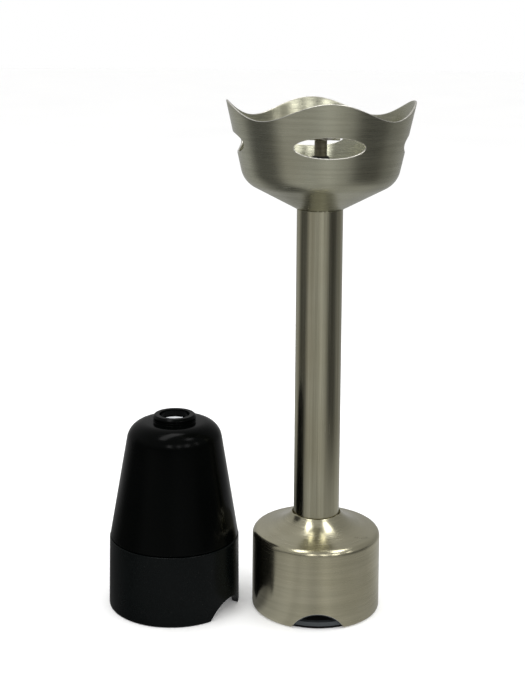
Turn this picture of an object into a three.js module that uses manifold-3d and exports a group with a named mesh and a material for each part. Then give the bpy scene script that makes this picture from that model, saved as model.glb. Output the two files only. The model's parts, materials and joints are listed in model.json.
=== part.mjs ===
// Attachments of an immersion blender, standing side by side on a table: the steel blending
// shaft, upside down on its coupling collar, and the cone-shaped whisk gearbox adapter.
// Millimetres, +Z up, the table is the plane z = 0 and the origin is the middle of the pair.
import * as THREE from "three";
import { mergeVertices } from "three/addons/utils/BufferGeometryUtils.js";
import Module from "manifold-3d";

const wasm = await Module();
wasm.setup();

// ---------------------------------------------------------------- driving dimensions
// shared
const seatGap = 0.3; // between pieces that are pressed, screwed or glued together
const runningGap = 0.06; // radial clearance of a shaft in its bush
const pieceSpacing = 57.7; // between the two upright axes, along x
const adapterSetback = 1.7; // the adapter's axis lies this far behind the shaft's
const turnSegments = 32; // sides of the large round pieces
const smallSegments = 16; // sides of the small round pieces

// coupling end, the same on both attachments
const notchHeight = 6.2;
const notchHalfWidth = 10.2;
const bossRadius = 9;
const bossBore = 7.2;
const bossBottom = 9;
const couplerRadius = 6.2;
const couplerBottom = 6.5;
const couplerSocketDepth = 7;
const couplerSocketRadius = 3.9;
const couplerSplines = 6;
const couplerPinRadius = 1;
const couplerPinRise = 3.4; // pin's height above the driven shaft's end
const lugWidth = 8;
const lugHeight = 3;
const lugBottom = 4;
const lugDepth = 1.5;
const lugRoot = 0.6; // how far a lug is sunk into its wall
const screwCount = 3;

// blending shaft
const tubeRadius = 9.2;
const tubeWall = 0.8;
const tubeBottom = 24;
const sheet = 0.8; // steel of the collar and the bell
const collarRadius = 25.73;
const collarBaseRound = 1;
const collarHem = 1.6; // flat hem turned in at the collar's base
const collarEdgeHeight = 29.1;
const collarEdgeRound = 2.5;
const collarNeckHeight = 38.4;
const collarNeckGap = 0.5;
const collarShoulderSlope = 10; // degrees from level where the shoulder starts
const collarNeckSlope = 54; // degrees from level where it meets the tube
const insertWall = 1.8;
const insertWebTop = 29.2;
const insertWeb = 2.7;
const insertSill = 2.7; // height of the plastic left standing behind the collar's notch
const insertFloor = 20.7;
const insertShoulder = 2.2; // bevel between the insert's wall and its web
const socketWall = 1.8; // plastic round the tube's foot
const flangeThickness = 1.6;
const screwInset = 4.2; // from the socket's wall out to the screws
const flangeMargin = 4.5; // steel outside the flange's screw circle
const insertScrewShank = 1.3;
const screwPoint = 1; // how far a screw stands out of what it holds

// bell guard
const neckHeight = 162;
const neckStep = 0.25; // the bell's neck stands this far proud of the tube
const bellDepth = 43; // neck to tips
const tipRadius = 37.5;
const wallLean = 12.6; // degrees from upright
const coneRise = 27.5; // degrees from level
const bellRound = 10;
const waveCount = 4;
const waveDepth = 7;
const bellTurn = 3.4; // degrees, front peak towards +x
const bellSegments = 40;
const slotBelowTips = 16.5;
const slotHalfWidth = 13.4;
const slotHalfHeight = 3.95;
const rimMargin = 1.5; // plain wall left under the lowest part of the rim

// drive line of the blending shaft
const shaftRadius = 2.5;
const bushRadius = 4;
const lowerBushLength = 12;
const housingBelowNeck = 20;
const housingAboveNeck = 16;
const housingRadius = 7;
const housingLip = 1.4; // wall round the lip seal
const sealSeat = 4; // depth of the lip seal's seat
const sealNose = 4.8; // height of the lip seal above the housing
const sealRingThickness = 1.4;
const sealRingSeat = 3.8; // seal ring's middle below the neck
const sealGrooveDepth = 1.5;
const sealGrooveWidth = 2.4;
const sealCollar = 1.9; // thickness of the lip seal round the shaft, where it passes the retainer
const retainerClearance = 0.4;
const retainerThickness = 0.6;
const guideHeight = 96;
const guideThickness = 8;
const guideHub = 2.1; // wall of the guide round the shaft
const guideArc = 22; // degrees, half of one foot of the guide
const washerThickness = 0.5;
const clipThickness = 0.7;
const bladeAboveNeck = 27.3;
const bladeStud = 1.9; // radius of the shaft's end through the blade
const capRadius = 3.3;
const bladeThickness = 1;
const bladeReach = 21;
const bladeWidth = 9;
const bladeDip = 0.9; // the level wing sags by this much half-way along
const bladeRise = 3.1; // the raised wing ends this much higher
const bladeTurn = 68; // degrees, level wing from +x towards +y

// whisk gearbox adapter
const skirtRadius = 26.4;
const skirtDraft = 0.2;
const skirtHeight = 28;
const skirtWall = 2.7;
const skirtWeb = 3;
const skirtWebDrop = 0.5; // web below the skirt's rim
const spigotHeight = 3;
const spigotClearance = 0.165; // between the spigot's top and the cone
const spigotWall = 1.8;
const jointStep = 0.25; // the cone's foot stands this far inside the skirt's rim
const coneTaper = 9.55; // degrees from upright
const coneTopHeight = 75;
const coneTopRound = 7.9;
const coneWall = 2.2;
const coneCrown = 3; // degrees, the slight dome of the top
const neckRingRadius = 8.8;
const neckGrooveRadius = 8.1;
const neckGrooveRise = 1; // from the top of the cone to the groove between the two rings
const neckRise = 2.7; // from the top of the cone to the top of the neck
const whiskHole = 6.1;
const notchTurn = 60; // degrees, adapter's notch from the front towards +x
const spindleRadius = 5.5;
const spindleSunk = 0.1; // spindle's end below the top of the cone
const spindleClearance = 0.2; // radial, round the spindle
const spindleGroove = 0.6;
const outputBushRadius = 7.5;
const outputBushWall = 2;
const bearingBelowTop = 19; // lower end of the output bearing, below the top of the cone
const bearingRoof = 5;
const outputSealHeight = 1.4;
const clipDrop = 1.4; // from the output bearing down to the spindle's clip
const keySize = 4;
const keyHeight = 5.5;
const adapterScrewShank = 1.2;
const adapterBossRadius = 2.2;
const adapterBossTop = 44;
const adapterScrewTop = 38;
const screwWallGap = 2.72; // screw circle inside the cone's inner foot

// planetary gears: two stages in one ring
const sunTeeth = 12;
const planetTeeth = 9;
const ringTeeth = 30;
const planetCount = 3;
const toothShare = 0.36; // tooth width at the pitch circle as a share of the pitch
const toothTip = 0.9; // tooth height beyond the pitch circle, in modules
const toothRoot = 1.25; // tooth depth within the pitch circle, in modules
const ringRim = 2.15; // solid rim outside the ring gear's teeth
const ringGap = 0.995; // radial gap between the ring gear's top edge and the cone
const ringBottom = 30.1;
const ringTop = 54;
const gearWidth = 6;
const stageOneBottom = 31.5;
const carrierGap = 0.5; // between a carrier and the ring's teeth, and above a row of planets
const carrierThickness = 2.5;
const planetLift = 0.7; // planets above the carrier below them
const pinRadius = 1.2;
const planetBore = 0.15; // radial clearance of a planet on its pin

// ---------------------------------------------------------------- materials
const steelLook = { color: 0x99968c, roughness: 0.32, metalness: 1 };
const darkSteelLook = { color: 0x6f6a60, roughness: 0.35, metalness: 1 };
const bronzeLook = { color: 0xa07a48, roughness: 0.5, metalness: 0.9 };
const blackPlasticLook = { color: 0x101214, roughness: 0.28, metalness: 0 };
const greyPlasticLook = { color: 0x33373a, roughness: 0.5, metalness: 0 };
const whitePlasticLook = { color: 0xd8d6cd, roughness: 0.45, metalness: 0 };
const rubberLook = { color: 0x0b0b0b, roughness: 0.8, metalness: 0 };
const spindleLook = { color: 0xc9ccd0, roughness: 0.3, metalness: 0.8 };

// ---------------------------------------------------------------- small helpers
const radians = (degrees) => (degrees * Math.PI) / 180;

function addPiece(group, name, geometry, look) {
  const mesh = new THREE.Mesh(geometry, new THREE.MeshStandardMaterial(look));
  mesh.name = name;
  group.add(mesh);
  return mesh;
}

// points of an arc in the (radius, height) plane, angles in degrees
function arc(centreR, centreZ, radius, from, to, steps) {
  const points = [];
  for (let i = 0; i <= steps; i++) {
    const angle = radians(from + ((to - from) * i) / steps);
    points.push([centreR + radius * Math.cos(angle), centreZ + radius * Math.sin(angle)]);
  }
  return points;
}

// the same line moved square to itself, to the left of its direction of travel
function offsetLine(points, distance) {
  const normals = [];
  for (let i = 0; i + 1 < points.length; i++) {
    const along = new THREE.Vector2(points[i + 1][0] - points[i][0], points[i + 1][1] - points[i][1]);
    along.normalize();
    normals.push(new THREE.Vector2(-along.y, along.x));
  }
  return points.map(([r, z], i) => {
    const before = normals[Math.max(i - 1, 0)];
    const after = normals[Math.min(i, normals.length - 1)];
    const shift = distance / (1 + before.dot(after));
    return [r + (before.x + after.x) * shift, z + (before.y + after.y) * shift];
  });
}

// a closed outline of a sheet whose outer face is the given line; lastInner is where its inner face ends
function sheetOutline(outer, thickness, lastInner) {
  const inner = offsetLine(outer, thickness).slice(0, -1);
  return [...outer, lastInner, ...inner.reverse()];
}

// turns an outline of (radius, height) points about the z axis
function turned(outline, segments) {
  const line = outline.map(([r, z]) => new THREE.Vector2(Math.max(r, 0), z));
  const openOnAxis = line[0].x === 0 && line[line.length - 1].x === 0;
  if (!openOnAxis) line.push(line[0].clone());
  if (THREE.ShapeUtils.area(line) < 0) line.reverse();
  const geometry = new THREE.LatheGeometry(line, segments);
  geometry.rotateX(Math.PI / 2);
  return geometry;
}

const rod = (radius, bottom, top, segments) =>
  turned([[0, bottom], [radius, bottom], [radius, top], [0, top]], segments);

const ring = (inner, outer, bottom, top, segments) =>
  turned([[inner, bottom], [outer, bottom], [outer, top], [inner, top]], segments);

function circlePath(radius, x, y) {
  const path = new THREE.Path();
  path.absarc(x, y, radius, 0, 2 * Math.PI, true);
  return path;
}

function plate(shape, bottom, thickness, curveSegments) {
  const geometry = new THREE.ExtrudeGeometry(shape, {
    depth: thickness,
    bevelEnabled: false,
    curveSegments,
  });
  geometry.translate(0, 0, bottom);
  return geometry;
}

function toSolid(geometry) {
  const bare = geometry.clone();
  bare.deleteAttribute("normal");
  bare.deleteAttribute("uv");
  const merged = mergeVertices(bare, 1e-4);
  const index = merged.index.array;
  const kept = [];
  for (let i = 0; i < index.length; i += 3) {
    const [a, b, c] = [index[i], index[i + 1], index[i + 2]];
    if (a !== b && b !== c && c !== a) kept.push(a, b, c);
  }
  const vertProperties = new Float32Array(merged.attributes.position.array);
  return new wasm.Manifold(new wasm.Mesh({ numProp: 3, vertProperties, triVerts: new Uint32Array(kept) }));
}

function toGeometry(solid) {
  const mesh = solid.getMesh();
  const geometry = new THREE.BufferGeometry();
  geometry.setAttribute("position", new THREE.BufferAttribute(new Float32Array(mesh.vertProperties), 3));
  geometry.setIndex(new THREE.BufferAttribute(new Uint32Array(mesh.triVerts), 1));
  geometry.computeVertexNormals();
  return geometry;
}

function cut(body, tools) {
  let solid = toSolid(body);
  for (const tool of tools) solid = solid.subtract(toSolid(tool));
  return toGeometry(solid);
}

function join(pieces) {
  let solid = toSolid(pieces[0]);
  for (const piece of pieces.slice(1)) solid = solid.add(toSolid(piece));
  return toGeometry(solid);
}

const common = (one, other) => toGeometry(toSolid(one).intersect(toSolid(other)));

// a cylinder lying along y, from one y to another
function crossRod(radius, z, fromY, toY, segments) {
  const geometry = new THREE.CylinderGeometry(radius, radius, toY - fromY, segments);
  geometry.translate(0, (fromY + toY) / 2, z);
  return geometry;
}

// ---------------------------------------------------------------- shared coupling pieces
const notchRadius = (notchHeight ** 2 + notchHalfWidth ** 2) / (2 * notchHeight);
const notchCentre = notchHeight - notchRadius;

// cutter for the half-round notch in the front of a rim
const notchCutter = (radius, fromR, toR) => crossRod(radius, notchCentre, -toR, -fromR, 36);

// a rounded spline outline for the drive socket
function splineShape(radius) {
  const shape = new THREE.Shape();
  const steps = couplerSplines * 4;
  for (let i = 0; i < steps; i++) {
    const angle = (2 * Math.PI * i) / steps;
    const reach = radius * (i % 4 < 2 ? 1 : 0.8);
    if (i === 0) shape.moveTo(reach * Math.cos(angle), reach * Math.sin(angle));
    else shape.lineTo(reach * Math.cos(angle), reach * Math.sin(angle));
  }
  shape.closePath();
  return shape;
}

const drivenBottom = couplerBottom + couplerSocketDepth + seatGap;
const couplerPinHeight = drivenBottom + couplerPinRise;

function driveCoupler(top) {
  const body = rod(couplerRadius, couplerBottom, top, smallSegments);
  const socket = plate(splineShape(couplerSocketRadius), couplerBottom - 1, couplerSocketDepth + 1, 1);
  const bore = rod(shaftRadius + seatGap, couplerBottom + couplerSocketDepth - 1, top + 1, smallSegments);
  const past = couplerRadius + 1;
  const pinBore = crossRod(couplerPinRadius + seatGap, couplerPinHeight, -past, past, 12);
  return cut(body, [socket, bore, pinBore]);
}

function couplerPin() {
  const half = couplerRadius - 0.2;
  return crossRod(couplerPinRadius, couplerPinHeight, -half, half, 12);
}

function drivenShaft(outline) {
  const past = shaftRadius + 1;
  const bore = crossRod(couplerPinRadius + seatGap, couplerPinHeight, -past, past, 12);
  return cut(turned([[0, drivenBottom], [shaftRadius, drivenBottom], ...outline], smallSegments), [bore]);
}

// three inward lugs of a bayonet, on a wall of the given inner radius
function bayonetLugs(wall) {
  const lugs = [];
  for (let i = 0; i < 3; i++) {
    const lug = new THREE.BoxGeometry(lugDepth + lugRoot, lugWidth, lugHeight);
    lug.translate(wall - lugDepth / 2 + lugRoot / 2, 0, lugBottom + lugHeight / 2);
    lug.rotateZ(radians(90 + 120 * i));
    lugs.push(lug);
  }
  return lugs;
}

// pan-head screw pointing up, head below the given height
function panScrew(shankRadius, headTop, shankTop) {
  const headRadius = shankRadius * 1.9;
  const headHeight = shankRadius * 1.25;
  return turned(
    [
      [0, headTop - headHeight],
      [headRadius * 0.7, headTop - headHeight],
      [headRadius, headTop - headHeight * 0.55],
      [headRadius, headTop],
      [shankRadius, headTop],
      [shankRadius, shankTop - shankRadius],
      [0, shankTop],
    ],
    8,
  );
}

// open retaining clip
function clip(inner, outer, bottom, thickness) {
  const shape = new THREE.Shape();
  const half = radians(28);
  shape.absarc(0, 0, outer, half, 2 * Math.PI - half, false);
  shape.absarc(0, 0, inner, 2 * Math.PI - half, half, true);
  shape.closePath();
  return plate(shape, bottom, thickness, 6);
}

// ---------------------------------------------------------------- blending shaft, static
const tubeTop = neckHeight - seatGap;
const tubeBore = tubeRadius - tubeWall;
const insertRadius = collarRadius - sheet - seatGap;
const insertBore = insertRadius - insertWall;
const socketBore = tubeRadius + seatGap;
const screwCircle = socketBore + socketWall + screwInset;
const flangeRadius = screwCircle + flangeMargin;
const flangeBottom = insertWebTop + seatGap;
const neckRadius = tubeRadius + neckStep;
const tipHeight = neckHeight + bellDepth;
const slotHeight = tipHeight - slotBelowTips;
const housingBottom = neckHeight - housingBelowNeck;
const housingTop = neckHeight + housingAboveNeck;
const sealTop = housingTop + sealNose;
const bladeHeight = neckHeight + bladeAboveNeck;

function collarShoulder() {
  const start = radians(collarShoulderSlope);
  const end = radians(collarNeckSlope);
  const roundR = collarRadius - collarEdgeRound;
  const corner = arc(roundR, collarEdgeHeight, collarEdgeRound, 0, 90 - collarShoulderSlope, 3);
  const [fromR, fromZ] = corner[corner.length - 1];
  const neckR = tubeRadius + collarNeckGap;
  const handle = Math.hypot(fromR - neckR, collarNeckHeight - fromZ) * 0.33;
  const curve = new THREE.CubicBezierCurve(
    new THREE.Vector2(fromR, fromZ),
    new THREE.Vector2(fromR - handle * Math.cos(start), fromZ + handle * Math.sin(start)),
    new THREE.Vector2(neckR + handle * Math.cos(end), collarNeckHeight - handle * Math.sin(end)),
    new THREE.Vector2(neckR, collarNeckHeight),
  );
  const sweep = curve.getPoints(5).map((point) => [point.x, point.y]);
  return [...corner, ...sweep.slice(1)];
}

function couplingCollar() {
  const base = arc(collarRadius - collarBaseRound, collarBaseRound, collarBaseRound, -90, 0, 2);
  const hem = [collarRadius - sheet - collarHem, 0];
  const neckInner = [
    tubeRadius + collarNeckGap,
    collarNeckHeight - sheet / Math.cos(radians(collarNeckSlope)),
  ];
  const outline = sheetOutline([hem, ...base, ...collarShoulder()], sheet, neckInner);
  return cut(turned(outline, turnSegments), [notchCutter(notchRadius, collarRadius - 6, collarRadius + 3)]);
}

function couplingInsert() {
  const bottom = sheet + seatGap;
  const webBottom = insertWebTop - insertWeb;
  const body = turned(
    [
      [insertBore, bottom],
      [insertRadius, bottom],
      [insertRadius, insertWebTop - insertShoulder + seatGap],
      [insertRadius - insertShoulder, insertWebTop],
      [socketBore, insertWebTop],
      [socketBore, tubeBottom - seatGap],
      [shaftRadius + 0.7, tubeBottom - seatGap],
      [shaftRadius + 0.7, insertFloor],
      [bossBore, insertFloor],
      [bossBore, bossBottom],
      [bossRadius, bossBottom],
      [bossRadius, insertFloor],
      [socketBore + socketWall, insertFloor],
      [socketBore + socketWall, webBottom],
      [insertBore, webBottom],
    ],
    turnSegments,
  );
  const window = new THREE.BoxGeometry(4 * notchHalfWidth, insertWall + 6, notchHeight);
  window.translate(0, -insertRadius, insertSill + notchHeight / 2);
  const notch = common(window, notchCutter(notchRadius - 0.6, insertBore - 4, insertRadius + 4));
  const screwHoles = [];
  for (let i = 0; i < screwCount; i++) {
    screwHoles.push(screwPlace(rod(insertScrewShank + seatGap, webBottom - 1, insertWebTop + 1, 12), i));
  }
  return cut(join([body, ...bayonetLugs(insertBore)]), [notch, ...screwHoles]);
}

const screwAngle = (i) => radians(30 + (360 / screwCount) * i);

function screwPlace(geometry, i) {
  geometry.translate(screwCircle, 0, 0);
  geometry.rotateZ(screwAngle(i));
  return geometry;
}

function tubeFlange() {
  const shape = new THREE.Shape();
  shape.absarc(0, 0, flangeRadius, 0, 2 * Math.PI, false);
  shape.holes.push(circlePath(socketBore, 0, 0));
  for (let i = 0; i < screwCount; i++) {
    const x = screwCircle * Math.cos(screwAngle(i));
    const y = screwCircle * Math.sin(screwAngle(i));
    shape.holes.push(circlePath(insertScrewShank + seatGap, x, y));
  }
  return plate(shape, flangeBottom, flangeThickness, 8);
}

function bellOuterLine() {
  const lean = Math.tan(radians(wallLean));
  const rise = 1 / Math.tan(radians(coneRise));
  // corner where the cone and the leaning wall would meet if nothing rounded it
  const cornerZ = (neckRadius - rise * neckHeight - tipRadius + lean * tipHeight) / (lean - rise);
  const cornerR = tipRadius - lean * (tipHeight - cornerZ);
  const fromAngle = coneRise - 90;
  const toAngle = -wallLean;
  const middle = radians((fromAngle + toAngle) / 2);
  const back = bellRound / Math.cos(radians((toAngle - fromAngle) / 2));
  const centreR = cornerR - back * Math.cos(middle);
  const centreZ = cornerZ - back * Math.sin(middle);
  const lastRow = tipHeight - waveDepth - rimMargin;
  return [
    [tubeBore, neckHeight],
    [neckRadius, neckHeight],
    ...arc(centreR, centreZ, bellRound, fromAngle, toAngle, 3),
    [tipRadius - lean * (tipHeight - lastRow), lastRow],
    [tipRadius, tipHeight],
  ];
}

// lowers the rim into waves by sliding its vertices down the leaning wall
function waveRim(geometry) {
  const lean = Math.tan(radians(wallLean));
  const position = geometry.attributes.position;
  for (let i = 0; i < position.count; i++) {
    const [x, y, z] = [position.getX(i), position.getY(i), position.getZ(i)];
    if (z < tipHeight - 1) continue;
    const angle = Math.atan2(x, -y) - radians(bellTurn);
    const drop = (waveDepth * (1 - Math.cos(waveCount * angle))) / 2;
    const radius = Math.hypot(x, y);
    const shrink = (radius - drop * lean) / radius;
    position.setXYZ(i, x * shrink, y * shrink, z - drop);
  }
}

function slotCutter(turn) {
  const shape = new THREE.Shape();
  shape.absellipse(0, 0, slotHalfWidth, slotHalfHeight, 0, 2 * Math.PI, false, 0);
  const geometry = new THREE.ExtrudeGeometry(shape, {
    depth: 4 * tipRadius,
    bevelEnabled: false,
    curveSegments: 7,
  });
  geometry.translate(0, 0, -2 * tipRadius);
  geometry.rotateX(Math.PI / 2);
  geometry.translate(0, 0, slotHeight);
  geometry.rotateZ(radians(turn));
  return geometry;
}

function bellGuard() {
  const rimInner = [tipRadius - sheet / Math.cos(radians(wallLean)), tipHeight];
  const body = turned(sheetOutline(bellOuterLine(), sheet, rimInner), bellSegments);
  body.rotateZ(radians(bellTurn));
  waveRim(body);
  return cut(body, [slotCutter(bellTurn), slotCutter(bellTurn + 90)]);
}

function shaftGuide() {
  const shape = new THREE.Shape();
  const outer = tubeBore - seatGap;
  const hub = shaftRadius + guideHub;
  const flank = radians(14); // between the end of a foot and the hub
  const pitch = radians(120);
  for (let i = 0; i < 3; i++) {
    const from = pitch * i - radians(guideArc);
    const to = pitch * i + radians(guideArc);
    shape.absarc(0, 0, outer, from, to, false);
    shape.absarc(0, 0, hub, to + flank, from + pitch - flank, false);
  }
  shape.closePath();
  shape.holes.push(circlePath(shaftRadius + seatGap, 0, 0));
  return plate(shape, guideHeight, guideThickness, 5);
}

const sealRingHeight = neckHeight - sealRingSeat;

function bearingHousing() {
  const spigot = tubeBore - seatGap;
  const flangeFloor = neckHeight + sheet + seatGap;
  const bushBore = bushRadius + seatGap;
  const grooveBottom = sealRingHeight - sealGrooveWidth / 2;
  const grooveTop = sealRingHeight + sealGrooveWidth / 2;
  const foot = neckRadius - 0.7;
  return turned(
    [
      [bushBore, housingBottom],
      [spigot, housingBottom],
      [spigot, grooveBottom],
      [spigot - sealGrooveDepth, grooveBottom],
      [spigot - sealGrooveDepth, grooveTop],
      [spigot, grooveTop],
      [spigot, flangeFloor],
      [foot, flangeFloor],
      [foot, flangeFloor + 1.6],
      [housingRadius, flangeFloor + 3],
      [housingRadius, housingTop],
      [housingRadius - housingLip, housingTop],
      [housingRadius - housingLip, housingTop - sealSeat],
      [bushBore, housingTop - sealSeat],
    ],
    smallSegments,
  );
}

function lipSeal() {
  const bottom = housingTop - sealSeat + seatGap;
  const skirt = housingRadius - housingLip - seatGap;
  return turned(
    [
      [shaftRadius + runningGap, bottom],
      [skirt, bottom],
      [skirt, housingTop],
      [shaftRadius + sealCollar, housingTop + seatGap],
      [shaftRadius + 1.5, sealTop - 1.6],
      [shaftRadius + 0.7, sealTop],
      [shaftRadius + runningGap, sealTop],
    ],
    smallSegments,
  );
}

function roundRing(centreR, centreZ, radius) {
  return turned(arc(centreR, centreZ, radius, 0, 360, 6).slice(0, -1), smallSegments);
}

// ---------------------------------------------------------------- blending shaft, turning
function blade() {
  const side = new THREE.Shape();
  const top = [];
  const bottom = [];
  const steps = 8;
  for (let i = -steps; i <= steps; i++) {
    const along = i / steps;
    const x = along * bladeReach;
    const level = -bladeDip * Math.sin(Math.PI * Math.min(Math.max((along - 0.12) / 0.88, 0), 1));
    const raised = bladeRise * Math.max((-along - 0.2) / 0.8, 0);
    const z = bladeHeight + level + raised;
    bottom.push([x, z]);
    top.unshift([x, z + bladeThickness]);
  }
  const outline = [...bottom, ...top].map(([x, z]) => new THREE.Vector2(x, z));
  side.setFromPoints(outline);
  const band = new THREE.ExtrudeGeometry(side, { depth: 4 * bladeWidth, bevelEnabled: false });
  band.translate(0, 0, -2 * bladeWidth);
  band.rotateX(Math.PI / 2);
  const plan = new THREE.Shape();
  const half = bladeWidth / 2;
  plan.moveTo(0, -half);
  plan.quadraticCurveTo(bladeReach * 0.7, -half * 1.25, bladeReach * 0.98, half * 0.1);
  plan.quadraticCurveTo(bladeReach * 0.95, half * 0.75, bladeReach * 0.8, half * 0.7);
  plan.quadraticCurveTo(bladeReach * 0.35, half * 0.4, 0, half);
  plan.quadraticCurveTo(-bladeReach * 0.7, half * 1.25, -bladeReach * 0.98, -half * 0.1);
  plan.quadraticCurveTo(-bladeReach * 0.95, -half * 0.75, -bladeReach * 0.8, -half * 0.7);
  plan.quadraticCurveTo(-bladeReach * 0.35, -half * 0.4, 0, -half);
  const slab = plate(plan, bladeHeight - 3, bladeRise + 8, 5);
  const bore = rod(bladeStud + seatGap, bladeHeight - 3, bladeHeight + 4, smallSegments);
  return cut(common(band, slab), [bore]);
}

function bladeCap() {
  const bottom = bladeHeight + bladeThickness + seatGap;
  return turned(
    [
      [0, bottom + 1.3],
      [bladeStud + seatGap, bottom + 1.3],
      [bladeStud + seatGap, bottom],
      [capRadius, bottom],
      [capRadius, bottom + 0.6],
      [capRadius - 0.9, bottom + 1.7],
      [0, bottom + 2.1],
    ],
    smallSegments,
  );
}

function blendingShaft() {
  const group = new THREE.Group();
  addPiece(group, "bell_guard", bellGuard(), steelLook);
  addPiece(group, "shaft_tube", ring(tubeBore, tubeRadius, tubeBottom, tubeTop, turnSegments), steelLook);
  addPiece(group, "coupling_collar", couplingCollar(), steelLook);
  addPiece(group, "coupling_insert", couplingInsert(), blackPlasticLook);
  addPiece(group, "tube_flange", tubeFlange(), darkSteelLook);
  const screwTop = flangeBottom + flangeThickness + screwPoint;
  for (let i = 0; i < screwCount; i++) {
    const screw = panScrew(insertScrewShank, insertWebTop - insertWeb - seatGap, screwTop);
    addPiece(group, `insert_screw_${i + 1}`, screwPlace(screw, i), darkSteelLook);
  }
  const carrierBottom = tubeBottom + 1;
  const bushBore = bushRadius + seatGap;
  const carrierTop = carrierBottom + lowerBushLength;
  const carrier = ring(bushBore, tubeBore - seatGap, carrierBottom, carrierTop, smallSegments);
  addPiece(group, "lower_bearing_carrier", carrier, greyPlasticLook);
  const shaftBore = shaftRadius + runningGap;
  const lowerBush = ring(shaftBore, bushRadius, carrierBottom, carrierTop, smallSegments);
  addPiece(group, "lower_bush", lowerBush, bronzeLook);
  addPiece(group, "shaft_guide", shaftGuide(), whitePlasticLook);
  addPiece(group, "bearing_housing", bearingHousing(), steelLook);
  const bushTop = housingTop - sealSeat - 0.4;
  const upperBush = ring(shaftBore, bushRadius, housingBottom + 2, bushTop, smallSegments);
  addPiece(group, "upper_bush", upperBush, bronzeLook);
  const sealRingRadius = sealRingThickness / 2;
  const sealRing = roundRing(tubeBore - 0.25 - sealRingRadius, sealRingHeight, sealRingRadius);
  addPiece(group, "tube_seal_ring", sealRing, rubberLook);
  addPiece(group, "lip_seal", lipSeal(), rubberLook);
  const retainerBottom = housingTop + 0.35;
  const retainerTop = retainerBottom + retainerThickness;
  const retainerBore = shaftRadius + sealCollar + retainerClearance;
  const retainer = ring(retainerBore, housingRadius, retainerBottom, retainerTop, smallSegments);
  addPiece(group, "seal_retainer", retainer, steelLook);

  const shaftLine = [
    [shaftRadius, bladeHeight - seatGap],
    [bladeStud, bladeHeight - seatGap],
    [bladeStud, bladeHeight + 2.2],
    [0, bladeHeight + 2.2],
  ];
  addPiece(group, "drive_shaft", drivenShaft(shaftLine), darkSteelLook);
  addPiece(group, "drive_coupler", driveCoupler(insertFloor - 0.5), blackPlasticLook);
  addPiece(group, "coupler_pin", couplerPin(), darkSteelLook);
  const washerBottom = carrierTop + 0.15;
  const washerTop = washerBottom + washerThickness;
  const clampBore = shaftRadius + 0.1;
  const washer = ring(clampBore, bushRadius + 2, washerBottom, washerTop, smallSegments);
  addPiece(group, "thrust_washer", washer, darkSteelLook);
  const shaftClip = clip(clampBore, bushRadius + 1, washerTop + 0.15, clipThickness);
  addPiece(group, "shaft_clip", shaftClip, darkSteelLook);
  const bladeMesh = addPiece(group, "blade", blade(), steelLook);
  bladeMesh.rotation.z = radians(bladeTurn);
  addPiece(group, "blade_cap", bladeCap(), steelLook);
  return group;
}

// ---------------------------------------------------------------- whisk gearbox adapter, static
const skirtTopRadius = skirtRadius - skirtDraft;
const coneBaseRadius = skirtTopRadius - jointStep;
const coneBoreRadius = coneBaseRadius - coneWall / Math.cos(radians(coneTaper));
const webTop = skirtHeight - skirtWebDrop;
const webBottom = webTop - skirtWeb;
const coneBottom = skirtHeight + seatGap;
const adapterScrewCircle = coneBoreRadius - screwWallGap;
const coneBoreAt = (height) => coneBoreRadius - Math.tan(radians(coneTaper)) * (height - coneBottom);

function adapterScrewPlace(geometry, i) {
  geometry.translate(adapterScrewCircle, 0, 0);
  geometry.rotateZ(radians(90 + (360 / screwCount) * i));
  return geometry;
}

function baseSkirt() {
  const bore = skirtRadius - skirtWall;
  const spigotRadius = coneBoreAt(skirtHeight + spigotHeight) - spigotClearance;
  const spigotBore = spigotRadius - spigotWall;
  const bushBore = bushRadius + seatGap;
  const body = turned(
    [
      [bore, 0],
      [skirtRadius - 0.5, 0],
      [skirtRadius, 0.5],
      [skirtTopRadius, skirtHeight - 0.4],
      [skirtTopRadius - 0.4, skirtHeight],
      [spigotRadius, skirtHeight],
      [spigotRadius, skirtHeight + spigotHeight],
      [spigotBore, skirtHeight + spigotHeight],
      [spigotBore, webTop],
      [bushBore, webTop],
      [bushBore, webBottom],
      [bossBore, webBottom],
      [bossBore, bossBottom],
      [bossRadius, bossBottom],
      [bossRadius, webBottom],
      [bore, webBottom],
    ],
    turnSegments,
  );
  const notch = notchCutter(notchRadius, bore - 4, skirtRadius + 3);
  notch.rotateZ(radians(notchTurn));
  const holes = [];
  for (let i = 0; i < screwCount; i++) {
    const hole = rod(adapterScrewShank + seatGap, webBottom - 1, skirtHeight + spigotHeight + 1, 12);
    holes.push(adapterScrewPlace(hole, i));
  }
  return cut(join([body, ...bayonetLugs(bore)]), [notch, ...holes]);
}

// outer line of the cone from its foot over the rounded edge to the neck
function coneOuterLine() {
  const taper = Math.tan(radians(coneTaper));
  const domeFall = Math.tan(radians(coneCrown));
  // corner where the cone and the top would meet if nothing rounded it
  const cornerZ =
    (coneTopHeight + domeFall * (neckRingRadius - coneBaseRadius - taper * coneBottom)) /
    (1 - domeFall * taper);
  const cornerR = coneBaseRadius - taper * (cornerZ - coneBottom);
  const fromAngle = coneTaper;
  const toAngle = 90 - coneCrown;
  const middle = radians((fromAngle + toAngle) / 2);
  const back = coneTopRound / Math.cos(radians((toAngle - fromAngle) / 2));
  const centreR = cornerR - back * Math.cos(middle);
  const centreZ = cornerZ - back * Math.sin(middle);
  return [
    [coneBaseRadius, coneBottom],
    ...arc(centreR, centreZ, coneTopRound, fromAngle, toAngle, 4),
    [neckRingRadius, coneTopHeight],
  ];
}

const bearingTop = coneTopHeight - bearingRoof;
const bearingBottom = coneTopHeight - bearingBelowTop;

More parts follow.
